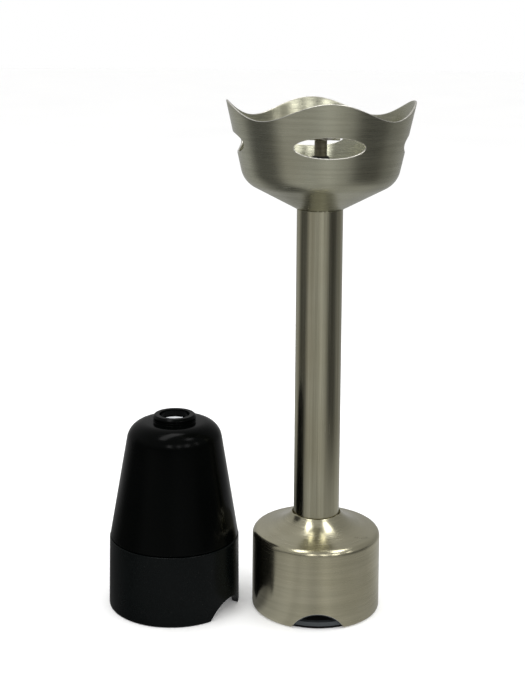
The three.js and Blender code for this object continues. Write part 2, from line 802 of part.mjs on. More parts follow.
function coneHousing() {
  const outer = coneOuterLine();
  const inner = offsetLine(outer, coneWall).reverse();
  inner[inner.length - 1] = [coneBoreRadius, coneBottom];
  const bossTop = inner[0][1];
  const bushBore = outputBushRadius + seatGap;
  const groove = coneTopHeight + neckGrooveRise;
  const neckTop = coneTopHeight + neckRise;
  const neck = [
    [neckRingRadius - 0.2, groove - 0.1],
    [neckGrooveRadius, groove],
    [neckGrooveRadius, groove + 0.3],
    [neckRingRadius, groove + 0.4],
    [neckRingRadius, neckTop - 0.8],
    [neckRingRadius - 0.85, neckTop],
    [whiskHole, neckTop],
  ];
  const bearingSeat = [
    [whiskHole, bearingTop],
    [bushBore, bearingTop],
    [bushBore, bearingBottom],
    [bushBore + outputBushWall, bearingBottom],
    [bushBore + outputBushWall, bossTop],
  ];
  const shell = turned([...outer, ...neck, ...bearingSeat, ...inner.slice(1)], turnSegments);
  const bosses = [];
  const holes = [];
  const bossBottom = skirtHeight + spigotHeight + 0.4;
  for (let i = 0; i < screwCount; i++) {
    const boss = rod(adapterBossRadius, bossBottom, adapterBossTop, 12);
    const hole = rod(adapterScrewShank + seatGap, coneBottom, adapterScrewTop + seatGap, 12);
    bosses.push(adapterScrewPlace(boss, i));
    holes.push(adapterScrewPlace(hole, i));
  }
  return cut(join([shell, ...bosses]), holes);
}

// ---------------------------------------------------------------- gears
// the ring gear fills the cone where its top edge comes nearest to the wall
const ringRadius = coneBoreAt(ringTop) - ringGap;
const gearModule = (ringRadius - ringRim) / (ringTeeth / 2 + toothRoot);
const carrierRadius = gearModule * (ringTeeth / 2 - toothTip) - carrierGap;

// corner points of straight-flanked teeth; tipSide is +1 for outside teeth, -1 for inside ones
function toothPoints(teeth, tipSide) {
  const pitchRadius = (gearModule * teeth) / 2;
  const tip = pitchRadius + tipSide * gearModule * toothTip;
  const root = pitchRadius - tipSide * gearModule * toothRoot;
  const half = toothShare / 2;
  const flank = 0.13; // how much a flank leans over the tooth's height, as a share of the pitch
  const pitch = (2 * Math.PI) / teeth;
  const points = [];
  for (let i = 0; i < teeth; i++) {
    const corners = [
      [root, -half - flank],
      [tip, -half + flank],
      [tip, half - flank],
      [root, half + flank],
    ];
    for (const [radius, offset] of corners) {
      const angle = pitch * (i + offset);
      points.push(new THREE.Vector2(radius * Math.cos(angle), radius * Math.sin(angle)));
    }
  }
  return points;
}

function toothedDisc(teeth, bore, bottom, width) {
  const shape = new THREE.Shape(toothPoints(teeth, 1));
  if (bore > 0) shape.holes.push(circlePath(bore, 0, 0));
  return plate(shape, bottom, width, 4);
}

function ringGear() {
  const shape = new THREE.Shape();
  shape.absarc(0, 0, ringRadius, 0, 2 * Math.PI, false);
  const teeth = toothPoints(ringTeeth, -1);
  shape.holes.push(new THREE.Path(teeth));
  const geometry = plate(shape, ringBottom, ringTop - ringBottom, 12);
  geometry.rotateZ(Math.PI / ringTeeth);
  return geometry;
}

const planetCentre = (gearModule * (sunTeeth + planetTeeth)) / 2;

// runs one maker for each planet position of a stage
function aroundStage(make) {
  for (let i = 0; i < planetCount; i++) {
    const angle = (2 * Math.PI * i) / planetCount;
    make("abc"[i], planetCentre * Math.cos(angle), planetCentre * Math.sin(angle), angle);
  }
}

function carrierDisc(bottom) {
  const shape = new THREE.Shape();
  shape.absarc(0, 0, carrierRadius, 0, 2 * Math.PI, false);
  aroundStage((letter, x, y) => shape.holes.push(circlePath(pinRadius + seatGap, x, y)));
  return plate(shape, bottom, carrierThickness, 8);
}

function addStage(group, stage, bottom) {
  aroundStage((letter, x, y, angle) => {
    const planet = addPiece(
      group,
      `planet_${stage}${letter}`,
      toothedDisc(planetTeeth, pinRadius + planetBore, 0, gearWidth),
      whitePlasticLook,
    );
    planet.position.set(x, y, bottom);
    planet.rotation.z = angle;
    const pinLength = gearWidth + carrierThickness + planetLift;
    const pinSolid = rod(pinRadius, 0, pinLength, 10);
    const pin = addPiece(group, `planet_pin_${stage}${letter}`, pinSolid, darkSteelLook);
    pin.position.set(x, y, bottom - seatGap);
  });
}

function whiskGearbox() {
  const group = new THREE.Group();
  addPiece(group, "base_skirt", baseSkirt(), blackPlasticLook);
  addPiece(group, "cone_housing", coneHousing(), blackPlasticLook);
  const plateBottom = webTop + seatGap;
  const plateTop = ringBottom - seatGap;
  const bearingPlate = ring(bushRadius + seatGap, ringRadius, plateBottom, plateTop, smallSegments);
  addPiece(group, "gearbox_plate", bearingPlate, darkSteelLook);
  const inputBushBottom = webBottom + seatGap;
  const inputBush = ring(shaftRadius + runningGap, bushRadius, inputBushBottom, ringBottom, smallSegments);
  addPiece(group, "input_bush", inputBush, bronzeLook);
  addPiece(group, "ring_gear", ringGear(), greyPlasticLook);
  for (let i = 0; i < screwCount; i++) {
    const screw = panScrew(adapterScrewShank, webBottom - seatGap, adapterScrewTop);
    addPiece(group, `housing_screw_${i + 1}`, adapterScrewPlace(screw, i), darkSteelLook);
  }
  const bore = spindleRadius + spindleClearance;
  const sealRoof = bearingTop - seatGap;
  const sealFloor = sealRoof - outputSealHeight;
  const bushFloor = bearingBottom + seatGap;
  const bushRoof = sealFloor - seatGap;
  addPiece(group, "output_bush", ring(bore, outputBushRadius, bushFloor, bushRoof, turnSegments), bronzeLook);
  addPiece(group, "output_seal", ring(bore, outputBushRadius, sealFloor, sealRoof, turnSegments), rubberLook);

  // first stage: coupler, shaft and sun drive three planets
  const sunTop = stageOneBottom + gearWidth;
  addPiece(group, "input_coupler", driveCoupler(webBottom - 0.5), blackPlasticLook);
  addPiece(group, "input_shaft", drivenShaft([[shaftRadius, sunTop], [0, sunTop]]), darkSteelLook);
  addPiece(group, "input_pin", couplerPin(), darkSteelLook);
  const sunOne = toothedDisc(sunTeeth, shaftRadius + seatGap, stageOneBottom, gearWidth);
  addPiece(group, "sun_gear", sunOne, darkSteelLook);
  addStage(group, 1, stageOneBottom);

  // second stage: the first carrier holds the second sun
  const carrierOneBottom = sunTop + carrierGap;
  const carrierOneTop = carrierOneBottom + carrierThickness;
  const stageTwoBottom = carrierOneTop + planetLift;
  const sunTwo = toothedDisc(sunTeeth, 0, carrierOneTop - 0.5, gearWidth + 1);
  addPiece(group, "carrier_1", join([carrierDisc(carrierOneBottom), sunTwo]), whitePlasticLook);
  addStage(group, 2, stageTwoBottom);

  const carrierTwoBottom = stageTwoBottom + gearWidth + carrierGap;
  const carrierTwoTop = carrierTwoBottom + carrierThickness;
  const key = new THREE.BoxGeometry(keySize, keySize, keyHeight + 0.5);
  key.translate(0, 0, carrierTwoTop + keyHeight / 2 - 0.25);
  addPiece(group, "carrier_2", join([carrierDisc(carrierTwoBottom), key]), darkSteelLook);
  addPiece(group, "whisk_spindle", whiskSpindle(carrierTwoTop), spindleLook);
  const clipBottom = bearingBottom - clipDrop;
  const spindleClip = clip(spindleRadius - spindleGroove + 0.25, outputBushRadius + 0.9, clipBottom, 0.8);
  addPiece(group, "spindle_clip", spindleClip, darkSteelLook);
  return group;
}

function whiskSpindle(below) {
  const bottom = below + seatGap;
  const grooveBottom = bearingBottom - clipDrop - 0.2;
  const grooveTop = grooveBottom + 1.2;
  const top = coneTopHeight - spindleSunk;
  const body = turned(
    [
      [0, bottom],
      [spindleRadius, bottom],
      [spindleRadius, grooveBottom],
      [spindleRadius - spindleGroove, grooveBottom],
      [spindleRadius - spindleGroove, grooveTop],
      [spindleRadius, grooveTop],
      [spindleRadius, top - 0.3],
      [spindleRadius - 0.3, top],
      [1.5, top],
      [0, top - 1.2],
    ],
    smallSegments,
  );
  const holeSize = keySize + 2 * seatGap;
  const keyHole = new THREE.BoxGeometry(holeSize, holeSize, keyHeight + 2.5);
  keyHole.translate(0, 0, below + keyHeight / 2 - 0.25);
  return cut(body, [keyHole]);
}

// ---------------------------------------------------------------- the pair
const model = new THREE.Group();
const blender = blendingShaft();
const shaftX = (pieceSpacing + skirtRadius - tipRadius) / 2;
blender.position.set(shaftX, 0, 0);
const adapter = whiskGearbox();
adapter.position.set(shaftX - pieceSpacing, adapterSetback, 0);
model.add(blender, adapter);

export default model;
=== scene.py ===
"""Looks for the two attachments of an immersion blender: the steel blending shaft, which stands
upside down on its coupling collar, and the black whisk gearbox adapter beside it.

Profiles are (radius, height) lines in millimetres about each attachment's upright axis.
"""

import json
import math

import bmesh
import bpy
from mathutils import Euler, Matrix, Vector


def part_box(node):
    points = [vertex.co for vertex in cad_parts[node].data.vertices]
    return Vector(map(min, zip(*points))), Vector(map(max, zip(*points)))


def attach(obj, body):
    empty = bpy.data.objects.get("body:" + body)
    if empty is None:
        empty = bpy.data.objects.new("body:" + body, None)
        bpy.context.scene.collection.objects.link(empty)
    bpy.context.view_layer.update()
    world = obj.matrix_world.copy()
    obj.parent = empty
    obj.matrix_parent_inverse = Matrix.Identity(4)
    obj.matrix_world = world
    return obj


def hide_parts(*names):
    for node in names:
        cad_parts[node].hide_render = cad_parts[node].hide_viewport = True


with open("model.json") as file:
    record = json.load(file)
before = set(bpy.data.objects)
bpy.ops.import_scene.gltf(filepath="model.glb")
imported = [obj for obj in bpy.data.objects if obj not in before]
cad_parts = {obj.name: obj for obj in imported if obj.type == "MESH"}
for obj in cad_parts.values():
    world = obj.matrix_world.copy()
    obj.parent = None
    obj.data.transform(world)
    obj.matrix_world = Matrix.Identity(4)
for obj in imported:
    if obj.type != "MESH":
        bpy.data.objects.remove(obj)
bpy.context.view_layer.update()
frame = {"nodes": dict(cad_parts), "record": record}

MM = 0.001
MAP_SOCKETS = ("From Min", "From Max", "To Min", "To Max")


def middle(node):
    """Point on the table under the middle of a CAD node."""
    low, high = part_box(node)
    return Vector(((low.x + high.x) / 2, (low.y + high.y) / 2, 0))


SHAFT = middle("shaft_tube")
ADAPTER = middle("cone_housing")
FRONT = math.radians(-90)

GAP = 0.3  # mm, between pieces that are pressed or screwed together
BUSH_R = 4  # mm, outside of the bushes on the drive shafts

# blending shaft, mm
SHEET = 0.8
TUBE_R = 9.2
TUBE_BOTTOM, TUBE_TOP = 24, 161.92
COLLAR_R = 25.73
COLLAR_HEM = 1.6
COLLAR_ROUND = 1
COLLAR_EDGE_Z, COLLAR_EDGE_ROUND = 29.1, 2.5
COLLAR_NECK_R, COLLAR_NECK_Z = 9.7, 38.4
SHOULDER_SLOPE, NECK_SLOPE = math.radians(10), math.radians(54)
NOTCH_Z, NOTCH_HALF = 6.2, 10.2
NOTCH_R = (NOTCH_Z**2 + NOTCH_HALF**2) / (2 * NOTCH_Z)

# bell guard, mm
BELL_NECK_R, BELL_NECK_Z = 9.45, 162
TIP_R, TIP_Z = 37.5, 205
LEAN = math.radians(12.6)
RISE = math.radians(27.5)
BELL_ROUND = 10
WAVES, WAVE_DEPTH = 4, 7
BELL_TURN = math.radians(3.4)
SLOT_Z, SLOT_A, SLOT_B = 188.5, 13.4, 3.95

# inside the bell, mm
SHAFT_R = 2.5
BLADE_Z, BLADE_T = 189.3, 1
BLADE_REACH, BLADE_HALF = 21, 4.5
BLADE_DIP, BLADE_RISE = 0.9, 3.1
BLADE_TURN = math.radians(68)
HOUSING_R, HOUSING_LOW, HOUSING_TOP = 7, 142, 178
HOUSING_LIP, SEAL_SEAT, SEAL_TOP = 1.4, 4, 182.8
HOUSING_SPIGOT_R = 8.1
RING_Z, RING_GROOVE_DEPTH, RING_GROOVE_HALF = 158.2, 1.5, 1.2
RETAINER_BORE, RETAINER_LOW, RETAINER_T = 4.8, HOUSING_TOP + 0.35, 0.6
STUD_R, STUD_RISE = 1.9, 2.2
CAP_R, CAP_RISE = 3.3, 2.1

# whisk gearbox adapter, mm
SKIRT_R, SKIRT_TOP_R, SKIRT_Z, SKIRT_WALL = 26.4, 26.2, 28, 2.7
SKIRT_WEB, SKIRT_WEB_DROP = 3, 0.5
SKIRT_SPIGOT_R, SKIRT_SPIGOT_WALL, SKIRT_SPIGOT_RISE = 23.1, 1.8, 3
HUB_R, HUB_WALL, HUB_LOW = 9, 1.8, 9
ADAPTER_NOTCH = FRONT + math.radians(60)
CONE_R, CONE_Z, CONE_TAPER = 25.95, 28.3, math.radians(9.55)
CONE_TOP, CONE_ROUND, CONE_WALL = 75, 7.9, 2.2
NECK_R, NECK_GROOVE_R, NECK_TOP = 8.8, 8.1, 77.7
HOLE_R, SPINDLE_R, SPINDLE_TOP = 6.1, 5.5, 74.9
BEARING_R, BEARING_LOW, BEARING_TOP, BEARING_WALL = 7.8, 56, 70, 2


# ---------------------------------------------------------------- mesh building
class Skin:
    """Collects faces given by corner points in millimetres; equal corners are shared."""

    def __init__(self, origin):
        self.origin = origin
        self.mesh = bmesh.new()
        self.corners = {}
        self.uv = self.mesh.loops.layers.uv.new("UVMap")
        # Material index for new faces: 1 marks the painted highlight on edges.
        self.on_painted_highlight = 0

    def corner(self, point):
        key = tuple(round(c, 4) for c in point)
        if key not in self.corners:
            self.corners[key] = self.mesh.verts.new(Vector(point) * MM + self.origin)
        return self.corners[key]

    def face(self, points, marks):
        verts, uvs = [], []
        for point, mark in zip(points, marks):
            vert = self.corner(point)
            if vert not in verts:
                verts.append(vert)
                uvs.append(mark)
        if len(verts) < 3 or self.mesh.faces.get(verts):
            return
        face = self.mesh.faces.new(verts)
        face.smooth = True
        face.material_index = self.on_painted_highlight
        for loop, mark in zip(face.loops, uvs):
            loop[self.uv].uv = mark

    def patch(self, points, marks, close_rows=False, close_columns=False):
        """Quads over a grid, points[row][column]."""
        rows, columns = len(points), len(points[0])
        for i in range(rows - (not close_rows)):
            for j in range(columns - (not close_columns)):
                k, m = (i + 1) % rows, (j + 1) % columns
                spots = [(i, j), (i, m), (k, m), (k, j)]
                self.face([points[a][b] for a, b in spots], [marks(a, b, i, j) for a, b in spots])

    def piece(self, name, body, material, slot, replaced=(), crease=42, painted_highlight_material=None):
        bmesh.ops.recalc_face_normals(self.mesh, faces=self.mesh.faces)
        for edge in self.mesh.edges:
            if len(edge.link_faces) == 2 and edge.calc_face_angle() > math.radians(crease):
                edge.smooth = False
        data = bpy.data.meshes.new(name)
        self.mesh.to_mesh(data)
        self.mesh.free()
        data.materials.append(material)
        # A second material, when given, is the painted highlight for edges.
        if painted_highlight_material:
            data.materials.append(painted_highlight_material)
        obj = bpy.data.objects.new(name, data)
        bpy.context.scene.collection.objects.link(obj)
        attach(obj, body)
        if replaced:
            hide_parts(*replaced)
        return obj


def rounded(corners, steps=4, support=0.3):
    """Closed (r, z) outline from corners (r, z, radius), each turned into an arc."""
    line = []
    count = len(corners)
    for i, (r, z, radius) in enumerate(corners):
        point = Vector((r, z))
        back = Vector(corners[i - 1][:2]) - point
        ahead = Vector(corners[(i + 1) % count][:2]) - point
        if radius <= 0:
            line.append((r, z))
            continue
        angle = back.angle(ahead)
        setback = min(radius / math.tan(angle / 2), 0.4 * back.length, 0.4 * ahead.length)
        start = point + back.normalized() * setback
        end = point + ahead.normalized() * setback
        weight = math.sin(angle / 2)
        extra = min(support, 0.25 * back.length, 0.25 * ahead.length)
        line.append(tuple(start + back.normalized() * extra))
        for step in range(steps + 1):
            t = step / steps
            a, b, c = (1 - t) ** 2, 2 * t * (1 - t) * weight, t**2
            line.append(tuple((start * a + point * b + end * c) / (a + b + c)))
        line.append(tuple(end + ahead.normalized() * extra))
    return line


def arc(centre_r, centre_z, radius, start, end, steps):
    turn = [math.radians(start + (end - start) * i / steps) for i in range(steps + 1)]
    return [(centre_r + radius * math.cos(a), centre_z + radius * math.sin(a)) for a in turn]


def offset_line(points, distance):
    """The same line moved to the left of its direction of travel."""
    normals = []
    for (r0, z0), (r1, z1) in zip(points, points[1:]):
        along = Vector((r1 - r0, z1 - z0)).normalized()
        normals.append(Vector((-along.y, along.x)))
    moved = []
    for i, point in enumerate(points):
        before, after = normals[max(i - 1, 0)], normals[min(i, len(normals) - 1)]
        moved.append(tuple(Vector(point) + (before + after) * distance / (1 + before.dot(after))))
    return moved


def split_line(points, longest):
    """Adds points so that no stretch is longer than the given length."""
    line = [points[0]]
    for start, end in zip(points, points[1:]):
        parts = max(1, math.ceil((Vector(end) - Vector(start)).length / longest))
        line += [tuple(Vector(start).lerp(Vector(end), (k + 1) / parts)) for k in range(parts)]
    return line


def swept(origin, outline_at, columns, angle_at=None):
    """Skin of a closed outline carried round the axis; outline_at(angle) gives its (r, z) points."""
    skin = Skin(origin)
    angles = [2 * math.pi * i / columns for i in range(columns)]
    outlines = [outline_at(angle) for angle in angles]
    points = []
    for angle, outline in zip(angles, outlines):
        column = []
        for r, z in outline:
            turn = angle_at(angle, r) if angle_at else angle
            column.append((r * math.cos(turn), r * math.sin(turn), z))
        points.append(column)
    lengths = [0]
    first = outlines[0]
    for (r0, z0), (r1, z1) in zip(first, first[1:] + first[:1]):
        lengths.append(lengths[-1] + math.hypot(r1 - r0, z1 - z0))
    widest = 2 * math.pi * max(r for r, z in first)

    def marks(a, b, i, j):
        u = (a if a >= i else columns) / columns
        return (u, lengths[b if b >= j else len(first)] / widest)

    skin.patch(points, marks, close_rows=True, close_columns=True)
    return skin


def turned(origin, corners, columns=96, steps=4):
    outline = rounded(corners, steps)
    return swept(origin, lambda angle: outline, columns)


def smooth(t):
    t = min(max(t, 0), 1)
    return t * t * (3 - 2 * t)


# ---------------------------------------------------------------- materials
class Look:
    """A node material around one Principled shader."""

    def __init__(self, name, **sockets):
        self.material = bpy.data.materials.new(name)
        self.material.use_nodes = True
        self.tree = self.material.node_tree
        self.shader = self.tree.nodes["Principled BSDF"]
        for socket, value in sockets.items():
            self.shader.inputs[socket.replace("_", " ")].default_value = value
        self.place = self.tree.nodes.new("ShaderNodeTexCoord").outputs["Object"]

    def node(self, kind, **settings):
        made = self.tree.nodes.new(kind)
        for key, value in settings.items():
            setattr(made, key, value)
        return made

    def link(self, source, target):
        self.tree.links.new(source, target)

    def noise(self, scale, detail=3.0, roughness=0.6, shift=0.0):
        """Noise between 0 and 1; scale is in cycles a metre along x, y and z."""
        mapping = self.node("ShaderNodeMapping")
        mapping.inputs["Scale"].default_value = scale
        mapping.inputs["Location"].default_value = (shift, shift * 0.7, shift * 1.3)
        self.link(self.place, mapping.inputs["Vector"])
        noise = self.node("ShaderNodeTexNoise")
        noise.inputs["Scale"].default_value = 1
        noise.inputs["Detail"].default_value = detail
        noise.inputs["Roughness"].default_value = roughness
        self.link(mapping.outputs[0], noise.inputs["Vector"])
        return noise.outputs["Fac"]

    def distance(self, point):
        made = self.node("ShaderNodeVectorMath", operation="DISTANCE")
        self.link(self.place, made.inputs[0])
        made.inputs[1].default_value = point
        return made.outputs["Value"]

    def ranged(self, value, low, high, from_low=0.3, from_high=0.7):
        made = self.node("ShaderNodeMapRange")
        for socket, number in zip(MAP_SOCKETS, (from_low, from_high, low, high)):
            made.inputs[socket].default_value = number
        self.link(value, made.inputs["Value"])
        return made.outputs["Result"]

    def math(self, operation, first, second):
        made = self.node("ShaderNodeMath", operation=operation)
        for socket, value in zip(made.inputs, (first, second)):
            if isinstance(value, (int, float)):
                socket.default_value = value
            else:
                self.link(value, socket)
        return made.outputs[0]

    def mix(self, factor, first, second, mode="MIX"):
        made = self.node("ShaderNodeMix", data_type="RGBA", blend_type=mode)
        sockets = (made.inputs["Factor"], made.inputs[6], made.inputs[7])
        for socket, value in zip(sockets, (factor, first, second)):
            if isinstance(value, tuple):
                socket.default_value = (*value, 1)
            elif isinstance(value, (int, float)):
                socket.default_value = value
            else:
                self.link(value, socket)
        return made.outputs[2]

    def bump(self, height, strength, distance):
        made = self.node("ShaderNodeBump")
        made.inputs["Strength"].default_value = strength
        made.inputs["Distance"].default_value = distance * MM
        self.link(height, made.inputs["Height"])
        self.link(made.outputs[0], self.shader.inputs["Normal"])

    def tangent(self):
        self.link(
            self.node("ShaderNodeTangent", direction_type="UV_MAP", uv_map="UVMap").outputs[0],
            self.shader.inputs["Tangent"],
        )

    def colour(self, source):
        self.link(source, self.shader.inputs["Base Color"])

    def roughness(self, source):
        self.link(source, self.shader.inputs["Roughness"])


def brushed_steel(name, light, dark, across, along, roughness, anisotropy=0.6, turn=0.25, grain=0.25):
    """Brushed stainless steel: across and along are the brushing's scales in cycles a metre."""
    look = Look(name, Metallic=1.0, Anisotropic=anisotropy, Anisotropic_Rotation=turn)
    look.tangent()
    fine = look.noise(across, 4, 0.7)
    broad = look.noise(along, 2, 0.5, 3.1)
    patches = look.noise((28, 28, 28), 3, 0.6, 7.7)
    tone = look.math("ADD", look.ranged(fine, -grain, grain), look.ranged(broad, 0.15, 0.85))
    base = look.mix(tone, dark, light)
    warm = look.mix(look.ranged(patches, 0, 0.5), base, (0.80, 0.76, 0.66), "MULTIPLY")
    look.colour(warm)
    rough = look.math(
        "ADD",
        look.ranged(fine, roughness - 0.06, roughness + 0.08),
        look.ranged(patches, -0.03, 0.04),
    )
    look.roughness(rough)
    look.bump(fine, 0.25, 0.03)
    return look.material


def moulded_plastic(name, colour, roughness, dust=0.0, shine=0.25, grain=900, bump=0.08):
    """Moulded plastic with a faint skin texture, handling marks and dust."""
    look = Look(name, Specular_IOR_Level=shine)
    texture = look.noise((grain, grain, grain), 2, 0.5)
    wear = look.noise((45, 45, 30), 4, 0.65, 2.3)
    lighter = tuple(min(1, c * 1.5 + 0.0005) for c in colour)
    base = look.mix(look.ranged(wear, 0, 0.6), colour, lighter)
    if dust:
        specks = look.noise((2300, 2300, 2300), 1, 0.5, 9.1)
        mask = look.ranged(specks, 0, dust, 0.66, 0.74)
        cloud = look.ranged(look.noise((60, 60, 60), 3, 0.6, 5.5), 0.1, 1)
        base = look.mix(look.math("MULTIPLY", mask, cloud), base, (0.42, 0.41, 0.38))
    look.colour(base)
    rough = look.ranged(wear, roughness - 0.05, roughness + 0.08)
    look.roughness(look.math("ADD", rough, look.ranged(texture, -0.02, 0.02)))
    look.bump(texture, bump, 0.05)
    return look.material


ROUND_FINE, ROUND_BROAD = (90, 90, 5200), (30, 30, 900)
LONG_FINE, LONG_BROAD = (3600, 3600, 22), (520, 520, 6)
EVEN_FINE, EVEN_BROAD = (500, 500, 500), (200, 200, 200)
bell_steel = brushed_steel(
    "bell_steel", (0.60, 0.60, 0.48), (0.48, 0.48, 0.38), ROUND_FINE, ROUND_BROAD, 0.27, grain=0.16
)
collar_steel = brushed_steel(
    "collar_steel", (0.64, 0.61, 0.46), (0.52, 0.50, 0.37), ROUND_FINE, ROUND_BROAD, 0.2, grain=0.16
)
tube_steel = brushed_steel(
    "tube_steel", (0.62, 0.60, 0.46), (0.40, 0.385, 0.28), LONG_FINE, LONG_BROAD, 0.17, 0.3, 0.0, 0.3
)
# Painted highlight: a lighter copy of the brushed steel, laid on rounded and cut edges where they catch the
# light.
painted_highlight_steel = brushed_steel(
    "painted_highlight_steel", (0.93, 0.92, 0.86), (0.8, 0.79, 0.73), EVEN_FINE, EVEN_BROAD, 0.3, 0.0
)
dark_steel = brushed_steel("dark_steel", (0.34, 0.32, 0.28), (0.18, 0.17, 0.15), ROUND_FINE, ROUND_BROAD, 0.3)
inner_steel = brushed_steel(
    "inner_steel", (0.62, 0.60, 0.55), (0.42, 0.40, 0.36), ROUND_FINE, ROUND_BROAD, 0.28
)
bronze = brushed_steel(
    "sintered_bronze", (0.55, 0.38, 0.20), (0.36, 0.24, 0.12), (900, 900, 900), EVEN_BROAD, 0.45, 0.0
)
spindle_metal = moulded_plastic("pale_spindle_end", (0.78, 0.80, 0.83), 0.35, shine=0.5, grain=2400)
gloss_plastic = moulded_plastic("gloss_black_plastic", (0.0004, 0.0006, 0.0005), 0.16, shine=0.06)
matte_plastic = moulded_plastic("matte_black_plastic", (0.0007, 0.0014, 0.0014), 0.26, 0.02, 0.13, bump=0.1)
grey_plastic = moulded_plastic("grey_plastic", (0.035, 0.04, 0.043), 0.45)
white_plastic = moulded_plastic("white_plastic", (0.66, 0.65, 0.60), 0.4)
rubber = moulded_plastic("rubber", (0.008, 0.008, 0.008), 0.6, grain=1500, bump=0.3)
SLOT_LOOKS = {
    "brushed_shell": collar_steel,
    "tube_steel": tube_steel,
    "black_plastic": matte_plastic,
    "black_gloss": gloss_plastic,
    "dark_steel": dark_steel,
    "inner_steel": inner_steel,
    "bronze": bronze,
    "grey_plastic": grey_plastic,
    "white_plastic": white_plastic,
    "rubber": rubber,
    "spindle_metal": spindle_metal,
}


# ---------------------------------------------------------------- coupling collar and tube
def notch_height(angle, radius):
    """Height of the half-round notch's edge at this angle from its middle."""
    side = radius * math.sin(angle)
    if math.cos(angle) < 0 or abs(side) >= NOTCH_HALF:
        return 0
    return NOTCH_Z - NOTCH_R + math.sqrt(NOTCH_R**2 - side**2)


def turn_from(angle, middle_angle):
    return (angle - middle_angle + math.pi) % (2 * math.pi) - math.pi


def parallel_sides(middle_angle, radius):
    """Keeps the notch's two sides parallel through the wall, as a straight cut leaves them."""

    def angle_at(angle, r):
        off = turn_from(angle, middle_angle)
        side = radius * math.sin(off)
        share = smooth((math.radians(70) - abs(off)) / math.radians(40))
        if share == 0 or r < abs(side) * 1.05:
            return angle
        return angle + (math.asin(side / r) - off) * share

    return angle_at


def cut_edge(foot, wall_low, edge, height):
    """A foot outline lifted to a notch's height, where it turns into the sheet's plain cut edge."""
    share = smooth(height / 0.8)
    lengths = [0]
    for start, end in zip(foot, foot[1:]):
        lengths.append(lengths[-1] + math.dist(start, end))
    spans = [0]
    for start, end in zip(edge, edge[1:]):
        spans.append(spans[-1] + math.dist(start, end))
    points = []
    for (r, z), length in zip(foot, lengths):
        want = length / lengths[-1] * spans[-1]
        k = next(i for i in range(1, len(spans)) if spans[i] >= want - 1e-9)
        t = (want - spans[k - 1]) / (spans[k] - spans[k - 1])
        edge_r = edge[k - 1][0] + (edge[k][0] - edge[k - 1][0]) * t
        edge_z = edge[k - 1][1] + (edge[k][1] - edge[k - 1][1]) * t
        points.append((r + (edge_r - r) * share, height + z + (edge_z - z) * share))
    return points


def lifted(points, low, high, new_low):
    """Squeezes a wall's heights from low..high into new_low..high."""
    return [(r, z if z >= high else new_low + (z - low) * (high - new_low) / (high - low)) for r, z in points]


def wall_end(outer, inner, foot_z, edge_round):
    """Cross-section of a wall's square end with small rounds, from the inner to the outer side."""
    e = edge_round
    arc_in = arc(inner + e, e, e, 180, 270, 3)
    arc_out = arc(outer - e, e, e, 270, 360, 3)
    return [(inner, foot_z), *arc_in, *arc_out, (outer, foot_z)]


def collar_shoulder():
    round_r = COLLAR_R - COLLAR_EDGE_ROUND
    corner = arc(round_r, COLLAR_EDGE_Z, COLLAR_EDGE_ROUND, 0, 90 - math.degrees(SHOULDER_SLOPE), 14)
    start, end = Vector(corner[-1]), Vector((COLLAR_NECK_R, COLLAR_NECK_Z))
    handle = (end - start).length * 0.33
    first = start + handle * Vector((-math.cos(SHOULDER_SLOPE), math.sin(SHOULDER_SLOPE)))
    second = end - handle * Vector((-math.cos(NECK_SLOPE), math.sin(NECK_SLOPE)))
    sweep = []
    steps = 28
    for i in range(1, steps + 1):
        t = i / steps
        near = start * (1 - t) ** 3 + first * 3 * t * (1 - t) ** 2
        far = second * 3 * t**2 * (1 - t) + end * t**3
        sweep.append(tuple(near + far))
    return corner + sweep


def coupling_collar():
    base = arc(COLLAR_R - COLLAR_ROUND, COLLAR_ROUND, COLLAR_ROUND, -90, 0, 8)
    inner_base = arc(COLLAR_R - COLLAR_ROUND, COLLAR_ROUND, COLLAR_ROUND - SHEET, 0, -90, 4)
    hem_r = COLLAR_R - SHEET - COLLAR_HEM
    foot = [*inner_base, *[(hem_r, z) for z in (SHEET, SHEET * 0.5, 0)], *base]
    wall_top = COLLAR_EDGE_Z
    wall = split_line([(COLLAR_R, COLLAR_ROUND), (COLLAR_R, wall_top)], 2.5)[1:-1]
    shoulder = collar_shoulder()
    under = offset_line(shoulder, SHEET)[:-1]
    lip = [
        (COLLAR_NECK_R, COLLAR_NECK_Z - 0.35),
        (COLLAR_NECK_R, COLLAR_NECK_Z - 1.2),
    ]
    neck_round = [(COLLAR_NECK_R + 0.35, COLLAR_NECK_Z - 0.44), (COLLAR_NECK_R + 0.12, COLLAR_NECK_Z - 0.2)]
    shoulder = shoulder[:-1] + neck_round
    inner_wall = [(COLLAR_R - SHEET, z) for r, z in reversed(wall)]
    edge = wall_end(COLLAR_R, COLLAR_R - SHEET, COLLAR_ROUND, 0.16)

    def outline_at(angle):
        height = notch_height(turn_from(angle, FRONT), COLLAR_R)
        low = height + COLLAR_ROUND
        return [
            *cut_edge(foot, COLLAR_ROUND, edge, height),
            *lifted(wall, COLLAR_ROUND, wall_top, low),
            *shoulder,
            *lip,
            *reversed(under),
            *lifted(inner_wall, COLLAR_ROUND, wall_top, low),
        ]

    skin = swept(SHAFT, outline_at, 360, parallel_sides(FRONT, COLLAR_R))
    # Painted highlight: the faces of the notch's cut edge take the lighter edge steel.
    for face in skin.mesh.faces:
        spot = (face.calc_center_median() - SHAFT) / MM
        angle = math.atan2(spot.y, spot.x)
        rise = notch_height(turn_from(angle, FRONT), COLLAR_R)
        if rise > 0.5 and spot.z < rise + 0.34:
            face.material_index = 1
    replaced = ["coupling_collar"]
    return skin.piece(
        "collar_skin", "blending_shaft", collar_steel, "brushed_shell", replaced, painted_highlight_material=painted_highlight_steel
    )


